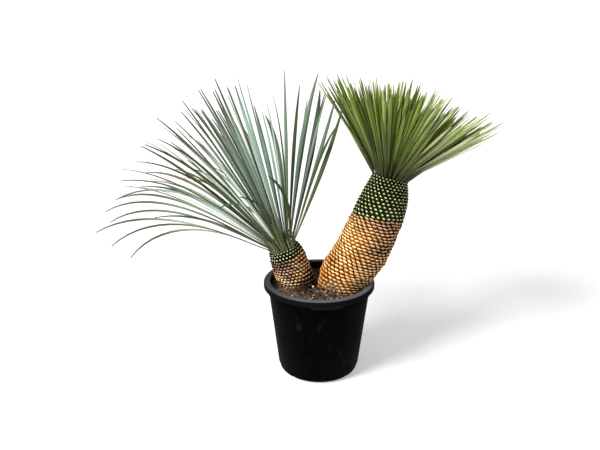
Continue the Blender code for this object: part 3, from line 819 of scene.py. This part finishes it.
def make_leaves(name, blades, seed):
    """All leaves of one head, in one mesh."""
    draw = random.Random(seed)
    points, faces, marks, uvs = [], [], [], []
    size = len(LEAF_SECTION)
    shares = [(step / LEAF_STATIONS) ** 0.9 for step in range(LEAF_STATIONS + 1)]
    for blade in blades:
        pale = draw.uniform(-1, 1)
        tone = 0.5 + 0.5 * copysign(abs(pale) ** blade.plant.tone_spread, pale)
        # Painted light and shade on leaves that head right: pale ones paler, dark ones darker
        tone += (tone - PAINTED_LIGHT_PIVOT) * blade.plant.pale_right * max(0, blade.heading.x - PAINTED_LIGHT_FROM)
        twist = LEAF_TWIST * draw.uniform(-1, 1)
        strip = draw.random() * 50
        shade = draw.random() * draw.choice((-1, 1))
        depth = draw.uniform(0.7, 1.7)
        age = clamp(draw.uniform(-0.25, 0.25) + acos(clamp(blade.heading.z, -1, 1)) / AGED_LEAN)
        if blade.look:
            tone, twist, shade = blade.look
        sides, start, end = tube(len(points), size, LEAF_STATIONS + 1, flip=True)
        faces += [*sides, start, end]
        for share, (place, heading, side) in zip(shares, blade.frames(shares)):
            if share == 0:
                place = place - heading * LEAF_ROOT_EXTRA
            side = Quaternion(heading, twist * share) @ side
            up = heading.cross(side).normalized()
            width = blade.width_at(share)
            fold = (1.35 - 0.6 * share) * depth
            for index, (across, rise) in enumerate(LEAF_SECTION):
                under = float(index >= LEAF_UPPER_POINTS)
                height = rise * fold * width - LEAF_THICKNESS * under
                points.append(place + side * across * width + up * height)
                marks.append((share * blade.colour_reach, clamp(tone), across, under, age, shade))
        for low, high in zip(shares, shares[1:]):
            for index in range(size):
                left = strip + index / size
                right = strip + (index + 1) / size
                uvs += [left, low, left, high, right, high, right, low]
        uvs += [strip, 0] * size + [strip, 1] * size
    leaves = object_from(name, points, faces)
    leaves.data.set_sharp_from_angle(angle=LEAF_CREASE)
    leaves.data.uv_layers.new(name="leaf").data.foreach_set("uv", uvs)
    add_marks(leaves, LEAF_MARKS, marks)
    return leaves


def leaf_material(look):
    """Leaf colours by leaf, by half and along the leaf, with fine veins."""
    paint = Paint(look.name)
    along, tone, across, under, age, shade = paint.attributes(*LEAF_MARKS)
    # Undersides lean towards the base colour: painted shade
    face = paint.mix(paint.times(under, look.under), paint.ramp(tone, look.tones), look.base)
    veins = paint.noise(paint.place((40, 1, 1), "UV"), 2, 2)
    face = paint.over(face, look.base, veins, 0.42, 0.7, 0.3)
    patches = paint.noise(paint.place((1, 3, 1), "UV"), 1.7, 2)
    face = paint.mix(paint.times(paint.range(patches, 0.5, 0.75, look.patching), tone), face, look.margin)
    # Towards the root: the base colour, which on the green head is near black, painted shade deep in the
    # head
    old = paint.range(age, 0.55, 1)
    from_root = paint.math("SUBTRACT", along, paint.times(old, look.long_stalk))
    root = paint.mix(paint.times(old, look.dark_stalk), look.base, look.dark_half)
    face = paint.over(face, root, from_root, look.base_to, 0.05, 0.95)
    # Painted shade on the darker half of the fold
    half = paint.times(shade, paint.range(across, -0.03, 0.03, 1, -1))
    face = paint.over(face, look.dark_half, half, 0.05, 0.9, HALF_SHADE)
    # Towards the tip
    ageing = paint.range(age, 0, 1, look.ageing / 2, -look.ageing / 2)
    ripe = paint.range(paint.math("ADD", along, ageing), look.tip_from, look.tip_to)
    face = paint.mix(paint.times(paint.range(ripe, 0, 0.4, 0.55), old), face, look.turning)
    tip = paint.mix(old, look.tip, look.old_tip)
    face = paint.over(face, tip, ripe, 0.25, 1, look.ripe)
    # Along the edge
    edge = paint.range(paint.math("ABSOLUTE", across), LEAF_MARGIN - 0.02, LEAF_MARGIN + 0.02)
    face = paint.mix(paint.times(edge, paint.range(tone, 0.1, 0.7, EDGING)), face, look.margin)
    return paint.done(face, look.gloss, 0.22, (veins, 0.3, 0.0005))


# Trunks


def superellipse(angle, exponent):
    """A point on a diamond (exponent 1) that swells to an ellipse (2)."""
    return [copysign(abs(value) ** (2 / exponent), value) for value in (cos(angle), sin(angle))]


def stain_and_shade_at(place, rise, outward, shaded):
    """How stained a leaf base is, with painted shade added. A shaded trunk has more painted shade high on
    its left and low on its right.
    """
    stain_and_shade = max(0, (1.6 if shaded else 0.7) * noise.noise(place / STAIN_SIZE) - 0.15)
    for centre, reach in STAIN_SPOTS:
        away = sqrt(sum(((place[axis] - centre[axis]) / reach[axis]) ** 2 for axis in range(3)))
        stain_and_shade = max(stain_and_shade, 0.75 - 0.42 * away)
    # Painted shade added to the stain mark: on the short trunk high on the left under its head and low on
    # the right away from the light; on the tall trunk near the top under the collar
    if shaded:
        stain_and_shade += 3.2 * max(0, rise - 0.38) * (0.6 - outward.x)
        stain_and_shade += 1.9 * max(0, 0.45 - rise) * max(0, outward.x)
    else:
        stain_and_shade += 2.6 * max(0, rise - 0.8)
    return clamp(stain_and_shade)


def make_stubs(name, plant, distances, shape, cut_size):
    """Cut leaf bases in a staggered lattice round a dark core, in one mesh."""
    draw = random.Random(shape.seed)
    points, faces, marks = [], [], []
    half_turn = pi / COLUMNS
    last = len(distances) - 1
    out, width, height, rise, roundness = shape.rings[-1]
    inset = shape.face_inset
    levels = (*shape.rings, (out + STUB_FACE_RISE, width * inset, height * inset, rise, roundness))
    for row in range(last):
        centre, across, back, along, radius = plant.trunk.section(distances[row])
        before = max(row - 1, 0)
        pitch = (distances[row + 1] - distances[before]) / (row + 1 - before)
        rise_share = row / last
        # Painted shade for the below mark: more on the rows near the top, under what lies above, less near
        # the foot
        row_shade = plant.shade_level + 1.9 * max(0, rise_share - 0.72) - 1.2 * max(0, 0.4 - rise_share)
        shrink = 1 - shape.shrink * rise_share
        for column in range(COLUMNS):
            angle = tau * column / COLUMNS + half_turn * (row % 2) + draw.gauss(0, STUB_TURN_SCATTER)
            outward, sideways = turned(across, back, angle)
            half_width = radius * half_turn * (1 + draw.gauss(0, STUB_WIDTH_SCATTER))
            reach = draw.gauss(0, shape.ragged)
            lift = draw.gauss(0, STUB_SCATTER)
            skew = draw.gauss(shape.skew, STUB_SCATTER)
            tone = draw.random()
            spot = centre + outward * radius
            lift += shape.wave * noise.noise(spot / STUB_WAVE)
            skew += shape.wave * noise.noise(spot / STUB_WAVE + Vector((5, 5, 5)))
            # The below mark is painted shade, heavier on the side away from the light
            below = clamp(row_shade + plant.shade_right * outward.x)
            stain_and_shade = stain_and_shade_at(spot, rise_share, outward, plant is SHORT and shape is OLD_STUB)
            first = len(points)
            for level, (out, width, height, rise, roundness) in enumerate(levels):
                share = min(1, level / (len(shape.rings) - 1))
                width *= half_width * (1 + (shrink * cut_size[0] - 1) * share)
                height *= 1 + (shrink * cut_size[1] - 1) * share
                mark = (float(level == len(shape.rings)), share, tone, below, stain_and_shade)
                for index in range(STUB_POINTS):
                    x, y = superellipse(tau * index / STUB_POINTS, roundness)
                    x *= width
                    y = (y * height + rise + lift * share) * pitch + skew * x * share
                    bulge = out + (reach - abs(x) * STUB_FACE_CURVE) * share
                    points.append(centre + outward * (radius + bulge) + sideways * x + along * y)
                    marks.append(mark)
            sides, start, end = tube(first, STUB_POINTS, len(levels))
            middle = sum(points[end[0]:], Vector()) / STUB_POINTS
            faces += [*sides, *fan(len(points), end), start]
            points.append(middle - outward * STUB_FACE_DISH)
            marks.append(mark)
    sides, start, end = tube(len(points), CORE_SIDES, CORE_STEPS + 1)
    faces += [*sides, start, end]
    for step in range(CORE_STEPS + 1):
        distance = distances[0] + (distances[-1] - distances[0]) * step / CORE_STEPS
        centre, across, back, _, radius = plant.trunk.section(distance)
        for index in range(CORE_SIDES):
            outward, _ = turned(across, back, tau * index / CORE_SIDES)
            points.append(centre + outward * (radius - CORE_SINK))
            marks.append((0, 0, 0.5, 0.5, 0))
    stubs = object_from(name, points, faces)
    add_marks(stubs, STUB_MARKS, marks)
    return stubs


def stub_material(look):
    """Dark gaps, fibrous bodies and paler cut ends, stained, soiled near the ground, and painted shade."""
    paint = Paint(look.name)
    is_cut, out, tone, below, stain_and_shade = paint.attributes(*STUB_MARKS)
    # The stain mark holds real stains and painted shade together
    stain_and_shade = paint.times(stain_and_shade, look.staining)
    # Painted shade from the below mark: lit and shaded gap colours, darker bodies, darker and redder cut
    # ends
    gap = paint.mix(stain_and_shade, paint.mix(below, look.lit_gap, look.shaded_gap), STAIN_AND_SHADE_GAP)
    painted_shade = paint.times(below, look.weathering)
    body = paint.mix(painted_shade, paint.ramp(tone, look.bodies), gap)
    cut = paint.mix(painted_shade, paint.ramp(tone, look.cuts), look.weathered_cut)
    cut = paint.mix(stain_and_shade, cut, STAIN_AND_SHADE_CUT)
    place = paint.place()
    body = paint.over(body, gap, paint.noise(place, 22), 0.35, 0.7, 0.45)
    # Towards the core each base turns to the gap colour: painted shade in the recesses between the bases
    colour = paint.over(gap, body, out, 0.5, 1)
    colour = paint.mix(is_cut, paint.mix(stain_and_shade, colour, STAIN_AND_SHADE_COLOUR), cut)
    fibres = paint.noise(paint.place((1, 1, 0.35)), 900, 2)
    colour = paint.over(colour, gap, fibres, 0.4, 0.75, 0.3)
    if look.heap:
        speckle = paint.range(paint.noise(place, 420, 2, 0.6), 0.3, 0.7, 0.01, -0.01)
        height = paint.math("ADD", paint.axis(place, "Z"), speckle)
        colour = paint.over(colour, SOILED_COLOUR, height, SOILED_TOP, SOILED_FULL, 0.95)
        heap = paint.near(place, look.heap_top, look.heap_reach, 0.7, 0.85)
        colour = paint.mix(heap, colour, paint.ramp(paint.noise(place, 230, 2, 0.6), look.heap))
    return paint.done(colour, 0.85, 0.04, (fibres, 0.4, 0.0006))


# The pot


def arc(centre, radius, start, end, steps):
    """Points (radius, height) on an arc between two angles in degrees."""
    points = []
    for step in range(steps + 1):
        angle = radians(start + (end - start) * step / steps)
        points.append((centre[0] + radius * cos(angle), centre[1] + radius * sin(angle)))
    return points


def wall_radius(height):
    """The outer radius of the pot's tapered wall at a height."""
    return WALL_BASE + (WALL_TOP - WALL_BASE) * (height / SKIRT_LOW)


def inner_profile(inset):
    """The pot's inside from the axis to under the rim, moved inwards by inset."""
    corner = BASE_CORNER - WALL
    floor = WALL + inset
    reach = wall_radius(floor) - WALL - inset
    bend = arc((reach - corner, floor + corner), corner, 270, 350, 8)
    return [(0, floor), *bend, (wall_radius(SOIL_TOP) - WALL - inset, SOIL_TOP)]


def pot_profile():
    """The pot's section: up the inside, over the rolled rim and down the outside."""
    channel = SKIRT_LOW + SKIRT_CHANNEL
    corner = channel - CHANNEL_BEND
    skirt_inner = RIM_RADIUS - SKIRT_WALL
    top = RIM_TOP - RIM_ROLL
    return [
        *inner_profile(0),
        *arc((RIM_INNER + RIM_ROLL, top), RIM_ROLL, 180, 90, 8),
        *arc((RIM_RADIUS - RIM_ROLL, top), RIM_ROLL, 90, 0, 8),
        *arc((RIM_RADIUS - SKIRT_LIP, SKIRT_LOW + SKIRT_LIP), SKIRT_LIP, 0, -180, 6),
        (skirt_inner, corner),
        *arc((skirt_inner - CHANNEL_BEND, corner), CHANNEL_BEND, 0, 90, 3),
        (WALL_TOP + 0.002, channel),
        (WALL_TOP + 0.001, STEP_HEIGHT + 0.0012),
        (wall_radius(STEP_HEIGHT) - STEP_SIZE, STEP_HEIGHT - 0.0006),
        (wall_radius(FOOT_BAND), FOOT_BAND),
        (wall_radius(FOOT_BAND) - STEP_SIZE, FOOT_BAND - 0.001),
        *arc((WALL_BASE - BASE_CORNER, BASE_CORNER), BASE_CORNER, 0, -90, 12),
        (0, 0),
    ]


def make_drain_cutter(name, angle):
    """A block that opens a slot across the pot's bottom corner."""
    bm = bmesh.new()
    bmesh.ops.create_cube(bm, size=1)
    bmesh.ops.scale(bm, vec=(DRAIN_CUT, DRAIN_WIDTH, 2 * DRAIN_HEIGHT), verts=bm.verts)
    rounded = [edge for edge in bm.edges if abs(edge.verts[0].co.x - edge.verts[1].co.x) > DRAIN_CUT / 2]
    bmesh.ops.bevel(bm, geom=rounded, offset=DRAIN_CORNER, segments=4, profile=0.5, affect="EDGES")
    cutter = object_from_bmesh(name, bm)
    reach = WALL_BASE - BASE_CORNER + DRAIN_CUT / 2
    cutter.location = (reach * cos(angle), reach * sin(angle), 0)
    cutter.rotation_euler = (0, 0, angle)
    return cutter


def make_pot():
    """The moulded pot with its drain slots."""
    bm = bmesh.new()
    points = [bm.verts.new((radius, 0, height)) for radius, height in pot_profile()]
    section = points + [bm.edges.new(pair) for pair in zip(points, points[1:])]
    bmesh.ops.spin(
        bm, geom=section, cent=(0, 0, 0), axis=(0, 0, 1), angle=tau, steps=TURN_STEPS, use_merge=True
    )
    bmesh.ops.remove_doubles(bm, verts=bm.verts, dist=1e-6)
    bmesh.ops.dissolve_degenerate(bm, edges=bm.edges, dist=1e-6)
    bmesh.ops.recalc_face_normals(bm, faces=bm.faces)
    pot = object_from_bmesh("moulded_pot", bm)
    cutters = [make_drain_cutter(f"drain_cutter_{angle}", radians(angle)) for angle in DRAIN_ANGLES]
    for cutter in cutters:
        cut = pot.modifiers.new(cutter.name, "BOOLEAN")
        cut.operation = "DIFFERENCE"
        cut.object = cutter
    graph = bpy.context.evaluated_depsgraph_get()
    mesh = bpy.data.meshes.new_from_object(pot.evaluated_get(graph), depsgraph=graph)
    pot.modifiers.clear()
    pot.data = mesh
    for cutter in cutters:
        bpy.data.objects.remove(cutter)
    pot.data.shade_smooth()
    pot.data.set_sharp_from_angle(angle=POT_CREASE)
    return pot


def pot_material():
    """Near-black moulded plastic, dusty and scuffed, with a grey painted highlight on the rim's top."""
    paint = Paint("black_plastic_worn")
    place = paint.place()
    height = paint.axis(place, "Z")
    cloud = paint.noise(place, 9, 4)
    scuffs = paint.noise(paint.place((1, 1, 0.25)), 60, 5, 0.7)
    colour = paint.over((0.0003, 0.0003, 0.0004), (0.001, 0.001, 0.0012), cloud, 0.35, 0.7)
    worn = paint.times(paint.range(scuffs, 0.56, 0.7), paint.range(cloud, 0.4, 0.65, 0.28))
    colour = paint.mix(worn, colour, (0.032, 0.029, 0.028))
    for spot in WORN_SPOTS:
        rubbed = paint.near(place, spot, WORN_REACH, 0.3, 0.75)
        rubbed = paint.times(rubbed, paint.range(scuffs, 0.46, 0.6))
        colour = paint.mix(rubbed, colour, (0.09, 0.078, 0.066))
    colour = paint.over(colour, (0.0038, 0.0041, 0.0046), height, SKIRT_LOW - 0.001, SKIRT_LOW)
    grain = paint.noise(place, 240, 3, 0.7)
    # The rim's top: a painted highlight, grey with grain
    rim = paint.over((0.055, 0.06, 0.063), (0.155, 0.163, 0.167), grain, 0.3, 0.7)
    # The painted highlight on the rim dims towards the left
    rim = paint.over(rim, (0.02, 0.021, 0.022), paint.axis(place, "X"), RIM_HIGHLIGHT_DIM_TO, RIM_HIGHLIGHT_DIM_FROM, 0.62)
    colour = paint.over(colour, rim, height, RIM_TOP - 0.003, RIM_TOP - 0.0008)
    return paint.done(colour, paint.range(scuffs, 0.3, 0.7, 0.68, 0.5), 0.012, (grain, 0.12, 0.0004))


def make_rim_tab():
    """The part of the skirt that hangs lower, at the front."""
    points = []
    for step in range(TAB_STEPS + 1):
        share = step / TAB_STEPS
        angle = TAB_FROM + (TAB_TO - TAB_FROM) * share
        low = TAB_LOW + TAB_ROUNDING * abs(2 * share - 1) ** 12
        outer, inner = RIM_RADIUS, TAB_INNER
        for radius, height in ((outer, low), (outer, TAB_HIGH), (inner, TAB_HIGH), (inner, low)):
            points.append((radius * cos(angle), radius * sin(angle), height))
    sides, start, end = tube(0, 4, TAB_STEPS + 1, flip=True)
    tab = object_from("rim_tab", points, [*sides, start, end])
    tab.data.set_sharp_from_angle(angle=POT_CREASE)
    return tab


# The soil and what lies on it


def from_foot(plant, x, y):
    """How far a place on the soil is from a trunk, and the angle that it lies at."""
    foot_x, foot_y, _, radius, _, _ = plant.sections[0]
    return hypot(x - foot_x, y - foot_y) - radius, atan2(y - foot_y, x - foot_x)


def soil_height(x, y):
    """The soil's lumpy top, heaped at the trunks' feet, level at the wall and the stone."""
    lumps = [high * noise.noise(Vector((x / size, y / size, level))) for high, size, level in SOIL_RELIEF]
    height = sum(lumps)
    for plant in (TALL, SHORT):
        away, angle = from_foot(plant, x, y)
        if away < MOUND_REACH:
            facing = max(0, cos(angle - plant.mound_side))
            height += plant.mound_height * facing ** 0.8 * (1 - max(0, away) / MOUND_REACH) ** 2
    from_stone = hypot(x - STONE_PLACE[0], y - STONE_PLACE[1])
    fade = clamp(from_stone / STONE_CLEARING - 1)
    edge = clamp((SOIL_EDGE + 0.008 - hypot(x, y)) / 0.01)
    return SOIL_TOP + height * fade * edge


def make_soil():
    """The soil: a finely crumbled top on a plain body that fills the pot."""
    radius_top = wall_radius(SOIL_TOP) - WALL - GAP
    rings = int(radius_top / SOIL_GRID)
    angles = [tau * index / SOIL_SIDES for index in range(SOIL_SIDES)]
    points = [Vector((0, 0, soil_height(0, 0)))]
    for ring in range(1, rings + 1):
        radius = radius_top * ring / rings
        for angle in angles:
            x, y = radius * cos(angle), radius * sin(angle)
            points.append(Vector((x, y, soil_height(x, y))))
    below = inner_profile(GAP)[-2:0:-1]
    for radius, height in below:
        for angle in angles:
            hollow = abs(angle - HOLLOW_ANGLE) < HOLLOW_HALF_WIDTH and height < DRAIN_HEIGHT
            reach = radius - HOLLOW_DEPTH if hollow else radius
            points.append(Vector((reach * cos(angle), reach * sin(angle), height)))
    sides, start, end = tube(1, SOIL_SIDES, rings + len(below), flip=True)
    return object_from("potting_soil", points, [*fan(0, start), *sides, end])


def soil_material():
    """Dark brown peat and bark, drier and paler on the lumps."""
    paint = Paint("potting_soil_crumbs")
    place = paint.place()
    fine = paint.noise(place, 520, 4, 0.7)
    colour = paint.ramp(paint.noise(place, 90, 5, 0.65), {
        0.41: (0.006, 0.0035, 0.002),
        0.5: (0.052, 0.028, 0.016),
        0.57: (0.19, 0.114, 0.07),
        0.65: (0.58, 0.45, 0.33),
    })
    colour = paint.over(colour, (0.018, 0.01, 0.006), fine, 0.4, 0.62, 0.6)
    # Painted light on the soil at the left front, where the rim's shadow falls
    colour = paint.over(colour, (0.33, 0.21, 0.14), paint.axis(place, "X"), PAINTED_LIGHT_SOIL_TO, PAINTED_LIGHT_SOIL_FROM, 0.14)
    # Darker soil at the short trunk's foot
    darker_soil = paint.near(place, DARK_SOIL_PLACE, DARK_SOIL_REACH, 0.5, 0.85)
    colour = paint.mix(darker_soil, colour, (0.012, 0.006, 0.004))
    height = paint.axis(place, "Z")
    # Painted shade on the soil deep below its top, seen through the drain slot
    colour = paint.over(colour, (0.004, 0.003, 0.002), height, SOIL_TOP - 0.02, SOIL_TOP - 0.06, 0.97)
    return paint.done(colour, 0.95, 0.15, (fine, 0.7, 0.0012))


def on_bare_soil(x, y):
    """Whether a place on the soil is clear of the trunks, the wall and the stone."""
    if any(from_foot(plant, x, y)[0] < 0 for plant in (TALL, SHORT)):
        return False
    return hypot(x - STONE_PLACE[0], y - STONE_PLACE[1]) >= 0.009 and hypot(x, y) < SOIL_EDGE


def make_chips(name, placed, count, sizes, seed):
    """Chips scattered on the soil: rough blocks with uneven corners."""
    draw = random.Random(seed)
    spots = list(placed)
    while len(spots) < count + len(placed):
        radius = SOIL_EDGE * sqrt(draw.random())
        angle = draw.uniform(0, tau)
        x, y = radius * cos(angle), radius * sin(angle)
        if on_bare_soil(x, y):
            length = draw.uniform(*sizes)
            size = (length, length * draw.uniform(0.35, 0.8), length * draw.uniform(0.18, 0.4))
            spots.append((x, y, size, draw.uniform(0, tau)))
    bm = bmesh.new()
    for x, y, size, turn in spots:
        middle = Vector((x, y, soil_height(x, y) + size[2] * 0.25))
        rotation = Quaternion((0, 0, 1), turn) @ Quaternion((0, 1, 0), draw.uniform(-0.25, 0.25))
        for vertex in bmesh.ops.create_cube(bm, size=1)["verts"]:
            uneven = (draw.uniform(0.75, 1.1), draw.uniform(0.5, 1.1), draw.uniform(0.7, 1.2))
            corner = Vector(vertex.co[axis] * size[axis] * uneven[axis] for axis in range(3))
            vertex.co = middle + rotation @ corner
    bmesh.ops.bevel(bm, geom=list(bm.edges), offset=0.0002, segments=1, affect="EDGES")
    return object_from_bmesh(name, bm)


def make_stone():
    """The small pale stone, worn smooth, resting on its flat spot."""
    bm = bmesh.new()
    bmesh.ops.create_icosphere(bm, subdivisions=5, radius=1)
    seat = -0.7 * STONE_SIZE[2]
    for vertex in bm.verts:
        swell = 0.98 * (1 + 0.06 * noise.noise(vertex.co * 1.3 + Vector((0, 0, 4))))
        x, y, z = (vertex.co[axis] * swell * STONE_SIZE[axis] for axis in range(3))
        vertex.co = (x, y, max(z, seat))
    turn = Quaternion((0, 0, 1), STONE_TURN).to_matrix()
    bmesh.ops.rotate(bm, verts=bm.verts, cent=(0, 0, 0), matrix=turn)
    bmesh.ops.translate(bm, verts=bm.verts, vec=(*STONE_PLACE, SOIL_TOP + GAP - seat))
    stone = object_from_bmesh("pale_pebble", bm)
    stone.data.shade_smooth()
    return stone


# The whole plant


def make_plant(plant, blades):
    """The leaf bases and the leaves of one trunk."""
    name = plant.name
    old = row_distances(FIRST_ROW_ABOVE_SOIL, plant.collar_from, plant.old_rows, 1)
    bases = make_stubs(f"{name}_old_leaf_bases", plant, old, OLD_STUB, plant.old_cut_size)
    place(bases, f"trunk_{name}", "old_leaf_bases", stub_material(plant.old_look))
    green = row_distances(plant.collar_from, plant.trunk.length, plant.green_rows, GREEN_SQUEEZE)
    bases = make_stubs(f"{name}_green_leaf_bases", plant, green, GREEN_STUB, plant.green_cut_size)
    place(bases, f"collar_{name}", "green_leaf_bases", stub_material(plant.green_look))
    leaves = make_leaves(f"{name}_leaves", blades, plant.seed)
    place(leaves, f"crown_{name}", plant.leaf_look.slot, leaf_material(plant.leaf_look))


def make_plants():
    tall_blades = ruled_blades(TALL, TALL.seed, TALL.blades)
    short_blades = ruled_blades(SHORT, SHORT.seed, SHORT.blades) + placed_blades(SHORT)
    short_blades += extra_blades(SHORT) + skirt_blades(SHORT)
    short_blades = turn_clear(short_blades, tall_blades)
    make_plant(TALL, tall_blades + extra_blades(TALL) + skirt_blades(TALL) + placed_blades(TALL))
    make_plant(SHORT, short_blades)


def make_ground():
    """The pot, the soil and what lies on it."""
    place(make_pot(), "pot", "black_plastic", pot_material())
    plastic = cloudy_material(
        "black_plastic_tab", (0.0042, 0.0046, 0.005), (0.0072, 0.0078, 0.0084), (240, 3, 0.7), 0.6, 0.012
    )
    place(make_rim_tab(), None, "black_plastic", plastic)
    place(make_soil(), "soil", "potting_soil", soil_material())
    pebble = cloudy_material(
        "pale_stone_worn", (0.94, 0.93, 0.88), (0.72, 0.68, 0.6), (300, 4), 0.55,
        relief=(0.2, 0.0003), low=0.35,
    )
    place(make_stone(), "white_stone", "pale_stone", pebble)
    bark = cloudy_material("bark", (0.035, 0.02, 0.013), (0.13, 0.078, 0.052), **CHIP_LOOK)
    place(make_chips("bark_chips", (), 420, (0.003, 0.009), 7), None, "potting_soil", bark)
    wood = cloudy_material("pale_wood", (0.36, 0.25, 0.16), (0.66, 0.53, 0.4), **CHIP_LOOK)
    place(make_chips("pale_chips", PLACED_CHIPS, 220, (0.0012, 0.0045), 9), None, "potting_soil", wood)


# The stage


def aim(obj, way):
    """Turns a camera or a lamp to look along a direction."""
    obj.rotation_euler = Vector(way).to_track_quat("-Z", "Y").to_euler()


def make_camera():
    data = bpy.data.cameras.new("camera")
    data.lens = CAMERA_LENS
    camera = add_object("camera", data)
    camera.location = CAMERA_PLACE
    level = cos(CAMERA_PITCH)
    aim(camera, (sin(CAMERA_YAW) * level, cos(CAMERA_YAW) * level, -sin(CAMERA_PITCH)))
    bpy.context.scene.camera = camera


def make_stage():
    """A pale floor, a white surround, brightest low down, and a soft light from the upper left."""
    corners = [(x * FLOOR_REACH, y * FLOOR_REACH, 0) for x, y in ((-1, -1), (1, -1), (1, 1), (-1, 1))]
    floor = object_from("floor", corners, [(0, 1, 2, 3)])
    floor.data.materials.append(cloudy_material(
        "pale_floor", (0.7, 0.7, 0.7), (0.73, 0.73, 0.73), (3, 2), 0.9,
        Emission_Color=(1, 1, 1), Emission_Strength=0.34,
    ))
    sun = bpy.data.lights.new("key", "SUN")
    sun.angle = radians(24)
    sun.energy = 4.1
    aim(add_object("key", sun), (0.78, 0.62, -0.76))
    sky = Paint("surround", "worlds")
    height = sky.axis(sky.add("TexCoord", {}, "Generated"), "Z")
    strength = sky.range(height, 0.12, 0.3, 0.46, 1)
    sky.feed(sky.tree.nodes["Background"], {"Color": (1, 1, 1), "Strength": strength})
    bpy.context.scene.world = sky.data
    bpy.context.scene.view_settings.view_transform = "Standard"


make_camera()
make_ground()
make_plants()
make_stage()
